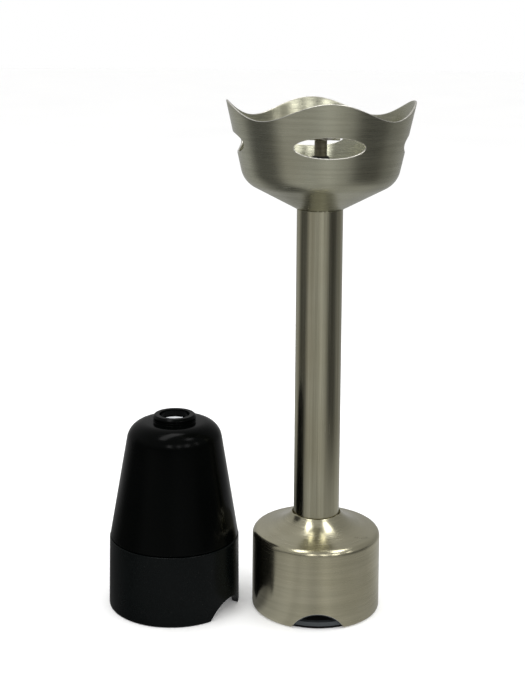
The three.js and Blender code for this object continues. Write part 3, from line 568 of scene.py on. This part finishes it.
def shaft_tube():
    corners = [
        (TUBE_R, TUBE_BOTTOM, 0.2),
        (TUBE_R, TUBE_TOP, 0.2),
        (TUBE_R - SHEET, TUBE_TOP, 0.2),
        (TUBE_R - SHEET, TUBE_BOTTOM, 0.2),
    ]
    skin = turned(SHAFT, corners, 160)
    return skin.piece("tube_skin", "blending_shaft", tube_steel, "tube_steel", ["shaft_tube"])


# ---------------------------------------------------------------- bell guard
def bell_lower_line():
    """Outer line from the neck round into the leaning wall, up to the wall's start."""
    lean, rise = math.tan(LEAN), 1 / math.tan(RISE)
    corner_z = (BELL_NECK_R - rise * BELL_NECK_Z - TIP_R + lean * TIP_Z) / (lean - rise)
    corner_r = TIP_R - lean * (TIP_Z - corner_z)
    start, end = math.degrees(RISE) - 90, -math.degrees(LEAN)
    half = math.radians((end - start) / 2)
    mid = math.radians((start + end) / 2)
    back = BELL_ROUND / math.cos(half)
    centre_r, centre_z = corner_r - back * math.cos(mid), corner_z - back * math.sin(mid)
    bend = arc(centre_r, centre_z, BELL_ROUND, start, end, 16)
    neck = [(BELL_NECK_R, BELL_NECK_Z + 0.05), (BELL_NECK_R + 0.15, BELL_NECK_Z + 0.08)]
    return [*neck, *split_line([neck[-1], bend[0]], 2.5)[1:-1], *bend]


def bell_wall(angle, z, depth):
    """Point of the leaning wall: z is the height of its outer face, depth is how far under it."""
    r = TIP_R - math.tan(LEAN) * (TIP_Z - z) - depth * math.cos(LEAN)
    return (r * math.cos(angle), r * math.sin(angle), z + depth * math.sin(LEAN))


def rim_height(angle):
    off = turn_from(angle, FRONT + BELL_TURN)
    return TIP_Z - WAVE_DEPTH * (1 - math.cos(WAVES * off)) / 2


def bell_guard():
    skin = Skin(SHAFT)
    per_wave, window_columns = 72, 48
    columns = WAVES * per_wave
    angles = [FRONT + BELL_TURN + 2 * math.pi * i / columns for i in range(columns + 1)]
    around = 2 * math.pi * TIP_R

    def mark(angle, z):
        return ((angle - angles[0]) / (2 * math.pi), z / around)

    def add(points, uvs):
        skin.patch(points, lambda a, b, i, j: uvs[a][b])

    # neck, cone and bend: both faces of the sheet
    outer = bell_lower_line()
    inner = offset_line(outer, SHEET)
    low = [(TUBE_R - SHEET, BELL_NECK_Z + SHEET), (TUBE_R - SHEET, BELL_NECK_Z), outer[0]]
    line = [*reversed(inner[2:]), *low, *outer[1:]]
    rings = [[(r * math.cos(a), r * math.sin(a), z) for r, z in line] for a in angles]
    add(rings, [[mark(a, z) for r, z in line] for a in angles])

    # leaning wall with its slots, both faces
    wall_start = outer[-1][1]
    window_low, window_high = SLOT_Z - SLOT_B - 2.6, SLOT_Z + SLOT_B + 2.6
    lower_rows = [wall_start + (window_low - wall_start) * i / 2 for i in range(3)]
    window_rows = [window_low + (window_high - window_low) * i / 14 for i in range(15)]
    half = window_columns // 2
    for depth in (0, SHEET):
        for rows in (lower_rows, window_rows):
            for i in range(columns):
                spot = (i + half) % per_wave
                if rows is window_rows and spot < window_columns:
                    continue
                pair = angles[i : i + 2]
                spots = [[bell_wall(a, z, depth) for z in rows] for a in pair]
                add(spots, [[mark(a, z) for z in rows] for a in pair])

    # waved rim with a rounded edge
    shares = [0, 0.25, 0.5, 0.75, 0.9]
    edge = 0.26
    quarter = (0, 0.5, 1.05, math.pi / 2)
    points, uvs = [], []
    for a in angles:
        top = rim_height(a)
        heights = [window_high + (top - edge * 1.6 - window_high) * s for s in shares]
        run = [(z, 0) for z in heights]
        run += [(top - edge * (1 - math.sin(t)), edge * (1 - math.cos(t))) for t in quarter]
        run += [(top - edge * (1 - math.cos(t)), SHEET - edge * (1 - math.sin(t))) for t in quarter]
        run += [(z, SHEET) for z in reversed(heights)]
        level = math.sin(LEAN)
        run = [(z - depth * level * (z - window_high) / (top - window_high), depth) for z, depth in run]
        points.append([bell_wall(a, z, depth) for z, depth in run])
        uvs.append([mark(a, z + depth) for z, depth in run])
    first, last = len(shares), len(shares) + 2 * len(quarter) - 1
    # Painted highlight: the rim's rounded edge takes the lighter edge steel.
    for start, end, on_painted_highlight in ((0, first, 0), (first, last, 1), (last, len(points[0]) - 1, 0)):
        skin.on_painted_highlight = on_painted_highlight
        add([row[start : end + 1] for row in points], [row[start : end + 1] for row in uvs])
    skin.on_painted_highlight = 0

    # ring of quads between each window's frame and its oval slot, then through the sheet
    half_angle = half * 2 * math.pi / columns
    for wave in range(WAVES):
        centre = FRONT + BELL_TURN + wave * 2 * math.pi / WAVES
        steps = len(window_rows) - 1
        offs = [-half_angle + 2 * half_angle * i / window_columns for i in range(window_columns)]
        spots = [(off, window_low) for off in offs]
        spots += [(half_angle, window_rows[i]) for i in range(steps)]
        spots += [(-off, window_high) for off in offs]
        spots += [(-half_angle, window_rows[steps - i]) for i in range(steps)]

        def slot_spot(off, z, grow):
            t = math.atan2((z - SLOT_Z) / (window_high - SLOT_Z), off / half_angle)
            height = SLOT_Z + (SLOT_B + grow) * math.sin(t)
            r = TIP_R - math.tan(LEAN) * (TIP_Z - height)
            return (math.asin((SLOT_A + grow) * math.cos(t) / r), height)

        edge = 0.22
        rings = [(0, spots)]
        ends = [slot_spot(o, z, edge * 1.6) for o, z in spots]
        for share in (0.3, 0.6, 0.85, 1):
            moved = [(o + (e - o) * share, z + (y - z) * share) for (o, z), (e, y) in zip(spots, ends)]
            rings.append((0, moved))
        flat = len(rings)
        for t in quarter:
            depth, grow = edge * (1 - math.cos(t)), edge * (1 - math.sin(t))
            rings.append((depth, [slot_spot(o, z, grow) for o, z in spots]))
        for t in quarter:
            depth, grow = SHEET - edge * (1 - math.sin(t)), edge * (1 - math.cos(t))
            rings.append((depth, [slot_spot(o, z, grow) for o, z in spots]))
        through = len(rings) - 1
        rings += [(SHEET, ring) for depth, ring in rings[flat - 1 :: -1]]
        points = [[bell_wall(centre + o, z, depth) for o, z in ring] for depth, ring in rings]
        uvs = [[mark(centre + o, z + depth) for o, z in ring] for depth, ring in rings]
        # Painted highlight: the rounded edges through each slot take the lighter edge steel.
        for start, end, on_painted_highlight in ((0, flat, 0), (flat, through, 1), (through, len(rings) - 1, 0)):
            skin.on_painted_highlight = on_painted_highlight
            part = points[start : end + 1]
            skin.patch(part, lambda a, b, i, j: uvs[start + a][b], close_columns=True)
        skin.on_painted_highlight = 0
    replaced = ["bell_guard"]
    return skin.piece(
        "bell_skin", "blending_shaft", bell_steel, "brushed_shell", replaced, painted_highlight_material=painted_highlight_steel
    )


# ---------------------------------------------------------------- inside the bell
def bell_inside():
    """Bearing housing with its lip seal and the ring that holds the seal."""
    top = HOUSING_TOP
    bore = BUSH_R + GAP
    floor_z = BELL_NECK_Z + SHEET + GAP
    flange_r = BELL_NECK_R - 0.7
    ring_low, ring_high = RING_Z - RING_GROOVE_HALF, RING_Z + RING_GROOVE_HALF
    housing = [
        (bore, HOUSING_LOW, 0.2),
        (HOUSING_SPIGOT_R, HOUSING_LOW, 0.3),
        (HOUSING_SPIGOT_R, ring_low, 0),
        (HOUSING_SPIGOT_R - RING_GROOVE_DEPTH, ring_low, 0),
        (HOUSING_SPIGOT_R - RING_GROOVE_DEPTH, ring_high, 0),
        (HOUSING_SPIGOT_R, ring_high, 0),
        (HOUSING_SPIGOT_R, floor_z, 0),
        (flange_r, floor_z, 0.2),
        (flange_r, floor_z + 1.6, 0.4),
        (HOUSING_R, floor_z + 3, 0.6),
        (HOUSING_R, top, 0.4),
        (HOUSING_R - HOUSING_LIP, top, 0.2),
        (HOUSING_R - HOUSING_LIP, top - SEAL_SEAT, 0),
        (bore, top - SEAL_SEAT, 0),
    ]
    skin = turned(SHAFT, housing, 72)
    skin.piece("housing_skin", "blending_shaft", inner_steel, "inner_steel", ["bearing_housing"])
    seal_foot = top - SEAL_SEAT + GAP
    seal_bore, seal_r = SHAFT_R + 0.06, HOUSING_R - HOUSING_LIP - GAP
    seal = [
        (seal_bore, seal_foot, 0),
        (seal_r, seal_foot, 0),
        (seal_r, top, 0.15),
        (SHAFT_R + 1.9, top + GAP, 0.2),
        (SHAFT_R + 1.5, SEAL_TOP - 1.6, 0.4),
        (SHAFT_R + 0.7, SEAL_TOP, 0.25),
        (seal_bore, SEAL_TOP, 0.1),
    ]
    turned(SHAFT, seal, 64).piece("lip_seal_skin", "blending_shaft", rubber, "rubber", ["lip_seal"])
    retainer = [
        (RETAINER_BORE, RETAINER_LOW, 0.15),
        (HOUSING_R, RETAINER_LOW, 0.15),
        (HOUSING_R, RETAINER_LOW + RETAINER_T, 0.25),
        (RETAINER_BORE, RETAINER_LOW + RETAINER_T, 0.2),
    ]
    turned(SHAFT, retainer, 64).piece(
        "retainer_skin", "blending_shaft", inner_steel, "inner_steel", ["seal_retainer"]
    )


def bezier(points, steps):
    a, b, c = [Vector(p) for p in points]
    return [
        a * (1 - t) ** 2 + b * 2 * t * (1 - t) + c * t**2 for t in (i / steps for i in range(steps + 1))
    ]


def resample(points, count):
    lengths = [0]
    for start, end in zip(points, points[1:]):
        lengths.append(lengths[-1] + (end - start).length)
    found = []
    for i in range(count + 1):
        want = lengths[-1] * i / count
        k = next(n for n in range(1, len(lengths)) if lengths[n] >= want - 1e-9)
        t = (want - lengths[k - 1]) / (lengths[k] - lengths[k - 1])
        found.append(points[k - 1].lerp(points[k], t))
    return found


def blade_height(x):
    along = x / BLADE_REACH
    level = -BLADE_DIP * math.sin(math.pi * min(max((along - 0.12) / 0.88, 0), 1))
    raised = BLADE_RISE * max((-along - 0.2) / 0.8, 0)
    return BLADE_Z + level + raised


def blade():
    """Two swept wings with ground edges."""
    reach, half = BLADE_REACH, BLADE_HALF
    lead = bezier([(0, -half), (reach * 0.7, -half * 1.25), (reach * 0.98, half * 0.1)], 40)
    tip = bezier([(reach * 0.98, half * 0.1), (reach * 0.95, half * 0.75), (reach * 0.8, half * 0.7)], 12)
    trail = bezier([(reach * 0.8, half * 0.7), (reach * 0.35, half * 0.4), (0, half)], 30)
    back = [*reversed(trail), *reversed(tip[:-1])]
    stations = 48
    lead, back = resample(lead, stations), resample(back, stations)
    across = [0, 0.03, 0.14, 0.35, 0.65, 0.86, 0.97, 1]
    grind = [0.3, 0.36, 0.94, 1, 1, 0.94, 0.36, 0.3]
    skin = Skin(SHAFT)
    spin = Matrix.Rotation(BLADE_TURN, 3, "Z")
    for side in (1, -1):
        top, bottom = [], []
        for near, far in zip(lead, back):
            upper, lower = [], []
            for share, thick in zip(across, grind):
                spot = near.lerp(far, share) * side
                z = blade_height(spot.x)
                upper.append(tuple(spin @ Vector((spot.x, spot.y, z + BLADE_T * thick))))
                lower.append(tuple(spin @ Vector((spot.x, spot.y, z))))
            top.append(upper)
            bottom.append(lower)
        for grid in (top, bottom):
            skin.patch(grid, lambda a, b, i, j: (a / stations, b / len(across)))
        for k in (0, -1):
            sides = [[row[k] for row in grid] for grid in (top, bottom)]
            skin.patch(sides, lambda a, b, i, j: (b / stations, a))
    return skin.piece("blade_skin", "blade_drive", inner_steel, "inner_steel", ["blade"])


def blade_drive():
    low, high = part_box("drive_shaft")
    bottom = low.z / MM
    shaft = [
        (0, bottom, 0),
        (SHAFT_R, bottom, 0.2),
        (SHAFT_R, BLADE_Z - GAP, 0.15),
        (STUD_R, BLADE_Z - GAP, 0),
        (STUD_R, BLADE_Z + STUD_RISE, 0.2),
        (0, BLADE_Z + STUD_RISE, 0),
    ]
    skin = turned(SHAFT, shaft, 48)
    skin.piece("drive_shaft_skin", "blade_drive", dark_steel, "dark_steel", ["drive_shaft"])
    foot = BLADE_Z + BLADE_T + GAP
    hollow = foot + STUD_RISE - BLADE_T + 0.1
    cap = [
        (0, hollow, 0),
        (STUD_R + GAP, hollow, 0),
        (STUD_R + GAP, foot, 0),
        (CAP_R, foot, 0.15),
        (CAP_R, foot + 0.6, 0.25),
        (CAP_R - 0.9, foot + 1.7, 0.6),
        (0, foot + CAP_RISE, 0),
    ]
    turned(SHAFT, cap, 48).piece("blade_cap_skin", "blade_drive", inner_steel, "inner_steel", ["blade_cap"])


# ---------------------------------------------------------------- whisk gearbox adapter
def base_skirt():
    bore = SKIRT_R - SKIRT_WALL
    web_top = SKIRT_Z - SKIRT_WEB_DROP
    web_low = web_top - SKIRT_WEB
    foot = [(bore, 1), (bore, 0.6), *arc(bore + 0.3, 0.3, 0.3, 180, 270, 3)]
    foot += [(bore + 1, 0), (SKIRT_R - 1.1, 0), *arc(SKIRT_R - 0.5, 0.5, 0.5, -90, 0, 6), (SKIRT_R, 1)]
    top = SKIRT_Z - 2
    slope = (SKIRT_R - SKIRT_TOP_R) / SKIRT_Z
    wall = split_line([(SKIRT_R, 1), (SKIRT_R - slope * top, top)], 2.5)[1:]
    rim = [
        (SKIRT_TOP_R, SKIRT_Z - 0.9),
        *arc(SKIRT_TOP_R - 0.4, SKIRT_Z - 0.4, 0.4, 0, 90, 6),
        (SKIRT_TOP_R - 0.9, SKIRT_Z),
        (SKIRT_SPIGOT_R, SKIRT_Z),
        (SKIRT_SPIGOT_R, SKIRT_Z + SKIRT_SPIGOT_RISE),
        (SKIRT_SPIGOT_R - SKIRT_SPIGOT_WALL, SKIRT_Z + SKIRT_SPIGOT_RISE),
        (SKIRT_SPIGOT_R - SKIRT_SPIGOT_WALL, web_top),
        (BUSH_R + GAP, web_top),
        (BUSH_R + GAP, web_low),
        (HUB_R - HUB_WALL, web_low),
        (HUB_R - HUB_WALL, HUB_LOW),
        (HUB_R, HUB_LOW),
        (HUB_R, web_low),
        (bore, web_low),
    ]
    inner_wall = split_line([(bore, web_low), (bore, 1)], 2.5)[1:-1]
    edge = wall_end(SKIRT_R, bore, 1, 0.3)

    def outline_at(angle):
        height = notch_height(turn_from(angle, ADAPTER_NOTCH), SKIRT_R)
        low = height + 1
        return [
            *cut_edge(foot, 1, edge, height),
            *lifted(wall, 1, top, low),
            *rim,
            *lifted(inner_wall, 1, top, low),
        ]

    skin = swept(ADAPTER, outline_at, 360, parallel_sides(ADAPTER_NOTCH, SKIRT_R))
    return skin.piece("skirt_skin", "adapter", matte_plastic, "black_plastic", ["base_skirt"])


def cone_housing():
    crown = 3
    taper, fall = math.tan(CONE_TAPER), math.tan(math.radians(crown))
    corner_z = (CONE_TOP + fall * (NECK_R - CONE_R - taper * CONE_Z)) / (1 - fall * taper)
    corner_r = CONE_R - taper * (corner_z - CONE_Z)
    start, end = math.degrees(CONE_TAPER), 90 - crown
    mid = math.radians((start + end) / 2)
    back = CONE_ROUND / math.cos(math.radians((end - start) / 2))
    centre_r, centre_z = corner_r - back * math.cos(mid), corner_z - back * math.sin(mid)
    bend = arc(centre_r, centre_z, CONE_ROUND, start, end, 20)
    foot = [
        (CONE_R - CONE_WALL, CONE_Z, 0),
        (CONE_R, CONE_Z, 0.35),
    ]
    side = [(r, z, 0) for r, z in split_line([(CONE_R - taper * 2, CONE_Z + 2), bend[0]], 3)]
    crown_line = [(r, z, 0) for r, z in bend[1:]]
    crown_line += [(r, z, 0) for r, z in split_line([bend[-1], (NECK_R + 1.2, CONE_TOP - 0.05)], 1.5)[1:]]
    neck = [
        (NECK_R - 0.1, CONE_TOP + 0.02, 0.12),
        (NECK_R - 0.1, CONE_TOP + 0.9, 0.12),
        (NECK_GROOVE_R, CONE_TOP + 1.0, 0.06),
        (NECK_GROOVE_R, CONE_TOP + 1.35, 0.06),
        (NECK_R, CONE_TOP + 1.45, 0.14),
        (NECK_R, NECK_TOP - 0.75, 0.3),
        (NECK_R - 0.8, NECK_TOP, 0.3),
        (HOLE_R, NECK_TOP, 0.35),
        (HOLE_R, BEARING_TOP, 0),
        (BEARING_R, BEARING_TOP, 0),
        (BEARING_R, BEARING_LOW, 0),
        (BEARING_R + BEARING_WALL, BEARING_LOW, 0),
        (BEARING_R + BEARING_WALL, CONE_TOP - CONE_WALL, 0),
    ]
    inner = offset_line([(CONE_R, CONE_Z), *bend], CONE_WALL)
    inside = [(r, z, 0) for r, z in reversed(inner[1:])]
    skin = turned(ADAPTER, [*foot, *side, *crown_line, *neck, *inside], 160)
    return skin.piece("cone_skin", "adapter", gloss_plastic, "black_gloss", ["cone_housing"])


def spindle():
    low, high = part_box("whisk_spindle")
    corners = [
        (0, low.z / MM, 0),
        (SPINDLE_R, low.z / MM, 0),
        (SPINDLE_R, SPINDLE_TOP, 0.35),
        (1.6, SPINDLE_TOP, 0.3),
        (0, SPINDLE_TOP - 1.2, 0),
    ]
    return turned(ADAPTER, corners, 64).piece(
        "spindle_skin", "whisk_output", spindle_metal, "spindle_metal", ["whisk_spindle"]
    )


def dress_cad():
    """Every CAD node takes the look of its own material slot; the insert is the greyer of the plastics."""
    for row in frame["record"]["subparts"]:
        data = frame["nodes"][row["node"]].data
        data.materials.clear()
        look = grey_plastic if row["node"] == "coupling_insert" else SLOT_LOOKS[row["material_slot"]]
        data.materials.append(look)


# ---------------------------------------------------------------- stage, light and camera
FLOOR_R = 12  # m
CAMERA_PLACE = (0.00039, -0.48467, 0.22543)  # m
CAMERA_DOWN, CAMERA_ROLL = math.radians(5.69), math.radians(0.45)


def disc(name, radius, height, material):
    mesh = bpy.data.meshes.new(name)
    plane = bmesh.new()
    bmesh.ops.create_circle(plane, cap_ends=True, radius=radius, segments=96)
    plane.to_mesh(mesh)
    plane.free()
    mesh.materials.append(material)
    obj = bpy.data.objects.new(name, mesh)
    obj.location.z = height
    bpy.context.scene.collection.objects.link(obj)
    return obj


def azimuth(nodes, links, vector, centre=(0, 0)):
    """0 to 1 round the vertical axis, 0.5 towards -y and rising towards +x."""
    split = nodes.new("ShaderNodeSeparateXYZ")
    links.new(vector, split.inputs[0])
    parts = []
    for output, middle_at, sign in ((0, centre[0], 1), (1, centre[1], -1)):
        part = nodes.new("ShaderNodeMath")
        part.operation = "MULTIPLY_ADD"
        links.new(split.outputs[output], part.inputs[0])
        part.inputs[1].default_value = sign
        part.inputs[2].default_value = -sign * middle_at
        parts.append(part.outputs[0])
    turn = nodes.new("ShaderNodeMath")
    turn.operation = "ARCTAN2"
    links.new(parts[0], turn.inputs[0])
    links.new(parts[1], turn.inputs[1])
    share = nodes.new("ShaderNodeMath")
    share.operation = "MULTIPLY_ADD"
    links.new(turn.outputs[0], share.inputs[0])
    share.inputs[1].default_value = 1 / (2 * math.pi)
    share.inputs[2].default_value = 0.5
    return share.outputs[0], split.outputs[2]


def ramp(nodes, links, value, stops, interpolation="EASE"):
    """stops are (degrees from the front towards +x, colour)."""
    made = nodes.new("ShaderNodeValToRGB")
    band = made.color_ramp
    band.interpolation = interpolation
    while len(band.elements) < len(stops):
        band.elements.new(0.5)
    for element, (degrees, colour) in zip(band.elements, stops):
        element.position = degrees / 360 + 0.5
        element.color = (*colour, 1)
    links.new(value, made.inputs[0])
    return made.outputs[0]


def grey(value, warmth=0.0):
    return (value * (1 + warmth), value, value * (1 - warmth))


def build_stage():
    """White floor for the eye, with painted shade inside the collar's foot; polished pieces mirror a calmer
    grey one.
    """
    look = Look("floor_white", Roughness=0.75, Specular_IOR_Level=0.1, Emission_Strength=0.12)
    cloud = look.noise((3, 3, 3), 2, 0.5)
    pale = look.mix(look.ranged(cloud, 0, 1), (0.90, 0.90, 0.90), (0.93, 0.93, 0.925))
    # Painted shade: the floor inside the collar's foot is coloured near-black for the shade under the collar,
    # and its emission takes the same dark colour.
    under = look.math("LESS_THAN", look.distance(SHAFT), (COLLAR_R - 2) * MM)
    pale = look.mix(under, pale, (0.015, 0.015, 0.015))
    look.colour(pale)
    look.link(pale, look.shader.inputs["Emission Color"])
    floor = disc("floor", FLOOR_R, -0.0001, look.material)
    floor.visible_glossy = False

    mirrored = bpy.data.materials.new("floor_mirrored")
    mirrored.use_nodes = True
    nodes, links = mirrored.node_tree.nodes, mirrored.node_tree.links
    nodes.clear()
    place = nodes.new("ShaderNodeTexCoord").outputs["Object"]
    around, _ = azimuth(nodes, links, place, (SHAFT.x, SHAFT.y))
    far = ramp(nodes, links, around, TABLE_FAR)
    near = ramp(nodes, links, around, TABLE_NEAR)
    away = nodes.new("ShaderNodeVectorMath")
    away.operation = "DISTANCE"
    links.new(place, away.inputs[0])
    away.inputs[1].default_value = SHAFT
    reach = nodes.new("ShaderNodeMapRange")
    reach.interpolation_type = "SMOOTHSTEP"
    for socket, number in zip(MAP_SOCKETS, (0.10, 0.26, 0, 1)):
        reach.inputs[socket].default_value = number
    links.new(away.outputs["Value"], reach.inputs["Value"])
    blend = nodes.new("ShaderNodeMix")
    blend.data_type = "RGBA"
    links.new(reach.outputs["Result"], blend.inputs["Factor"])
    links.new(near, blend.inputs[6])
    links.new(far, blend.inputs[7])
    glow = nodes.new("ShaderNodeEmission")
    links.new(blend.outputs[2], glow.inputs["Color"])
    out = nodes.new("ShaderNodeOutputMaterial")
    links.new(glow.outputs[0], out.inputs["Surface"])
    table = disc("floor_mirrored", FLOOR_R, -0.0002, mirrored)
    table.visible_camera = False
    table.visible_diffuse = False
    table.visible_shadow = False


TABLE_FAR = [
    (-180, grey(0.42)),
    (-128, grey(0.40)),
    (-98, grey(0.09)),
    (-74, grey(0.10)),
    (-50, grey(0.40, 0.02)),
    (-12, grey(0.40)),
    (8, grey(0.52)),
    (30, grey(0.36)),
    (55, grey(0.07)),
    (82, grey(0.08)),
    (104, grey(0.22)),
    (140, grey(0.34)),
    (179.9, grey(0.42)),
]
TABLE_NEAR = [
    (-180, grey(0.50)),
    (-150, grey(0.15)),
    (-78, grey(0.13)),
    (-62, grey(0.37)),
    (-38, grey(0.47)),
    (-30, grey(0.40)),
    (-20, grey(0.46)),
    (-5, grey(0.38)),
    (13, grey(0.51)),
    (24, grey(0.43)),
    (45, grey(0.38)),
    (80, grey(0.36)),
    (120, grey(0.46)),
    (179.9, grey(0.50)),
]
ROOM = [
    (-180, grey(0.38)),
    (-120, grey(0.36)),
    (-95, grey(0.12)),
    (-60, grey(0.14)),
    (0, grey(0.07)),
    (50, grey(0.10)),
    (85, grey(0.08)),
    (125, grey(0.28)),
    (179.9, grey(0.38)),
]
CEILING = [
    (-180, grey(0.46)),
    (-90, grey(0.44)),
    (-30, grey(0.40)),
    (0, grey(0.40)),
    (60, grey(0.34)),
    (120, grey(0.30)),
    (179.9, grey(0.40)),
]


def area_light(name, size, radiance, place, aim, roll=0.0):
    data = bpy.data.lights.new(name, "AREA")
    data.shape = "RECTANGLE"
    data.size, data.size_y = size
    data.energy = radiance * math.pi * size[0] * size[1]
    light = bpy.data.objects.new(name, data)
    light.location = place
    facing = (Vector(aim) - Vector(place)).to_track_quat("-Z", "Y").to_matrix()
    light.rotation_euler = (facing @ Matrix.Rotation(math.radians(roll), 3, "Z")).to_euler()
    bpy.context.scene.collection.objects.link(light)
    return light


def build_lights():
    """Two strips overhead, and a row of windows in front: name, degrees from the front, width."""
    radiance = 4.5
    area_light("ceiling_strip_left", (0.24, 0.85), radiance, (-0.2, -0.05, 1.0), (-0.2, -0.05, 0), -34)
    area_light("ceiling_strip_right", (0.24, 0.7), radiance, (0.43, -0.07, 1.0), (0.43, -0.07, 0), 13)
    windows = [
        ("window_far", 62, 0.1),
        ("window_right", 35, 0.28),
        ("window_middle", 14, 0.2),
        ("window_left", -10, 0.3),
    ]
    away, height, tall = 1.5, 0.86, 0.42
    for name, degrees, wide in windows:
        turn = math.radians(degrees)
        place = (away * math.sin(turn), -away * math.cos(turn), height)
        area_light(name, (wide, tall), radiance, place, (0, 0, 0.15))


def build_world():
    """White to the eye and for soft light; polished pieces mirror a dimmer room with darker sides."""
    world = bpy.data.worlds.new("studio")
    world.use_nodes = True
    bpy.context.scene.world = world
    nodes, links = world.node_tree.nodes, world.node_tree.links
    nodes.clear()
    direction = nodes.new("ShaderNodeTexCoord").outputs["Generated"]
    around, height = azimuth(nodes, links, direction)
    walls = ramp(nodes, links, around, ROOM)
    ceiling = ramp(nodes, links, around, CEILING)
    lift = nodes.new("ShaderNodeMapRange")
    lift.interpolation_type = "SMOOTHSTEP"
    for socket, number in zip(MAP_SOCKETS, (0.08, 0.5, 0, 1)):
        lift.inputs[socket].default_value = number
    links.new(height, lift.inputs["Value"])
    blend = nodes.new("ShaderNodeMix")
    blend.data_type = "RGBA"
    links.new(lift.outputs["Result"], blend.inputs["Factor"])
    links.new(walls, blend.inputs[6])
    links.new(ceiling, blend.inputs[7])
    room, white = nodes.new("ShaderNodeBackground"), nodes.new("ShaderNodeBackground")
    links.new(blend.outputs[2], room.inputs["Color"])
    white.inputs["Color"].default_value = (1, 1, 1, 1)
    white.inputs["Strength"].default_value = 1.0
    path, mixer = nodes.new("ShaderNodeLightPath"), nodes.new("ShaderNodeMixShader")
    links.new(path.outputs["Is Glossy Ray"], mixer.inputs[0])
    links.new(white.outputs[0], mixer.inputs[1])
    links.new(room.outputs[0], mixer.inputs[2])
    out = nodes.new("ShaderNodeOutputWorld")
    links.new(mixer.outputs[0], out.inputs["Surface"])


def build_camera():
    data = bpy.data.cameras.new("camera")
    data.sensor_width = 36
    data.lens = 63.39
    data.shift_y = -0.2571429
    data.clip_start, data.clip_end = 0.01, 50
    camera = bpy.data.objects.new("camera", data)
    camera.location = CAMERA_PLACE
    tilt = Euler((math.radians(90) - CAMERA_DOWN, 0, 0)).to_matrix()
    roll = Matrix.Rotation(CAMERA_ROLL, 3, "Z")
    camera.rotation_euler = (tilt @ roll).to_euler()
    bpy.context.scene.collection.objects.link(camera)
    bpy.context.scene.camera = camera


build_camera()
coupling_collar()
shaft_tube()
bell_guard()
bell_inside()
blade()
blade_drive()
base_skirt()
cone_housing()
spindle()
dress_cad()
build_stage()
build_world()
build_lights()
bpy.context.scene.view_settings.view_transform = "Standard"
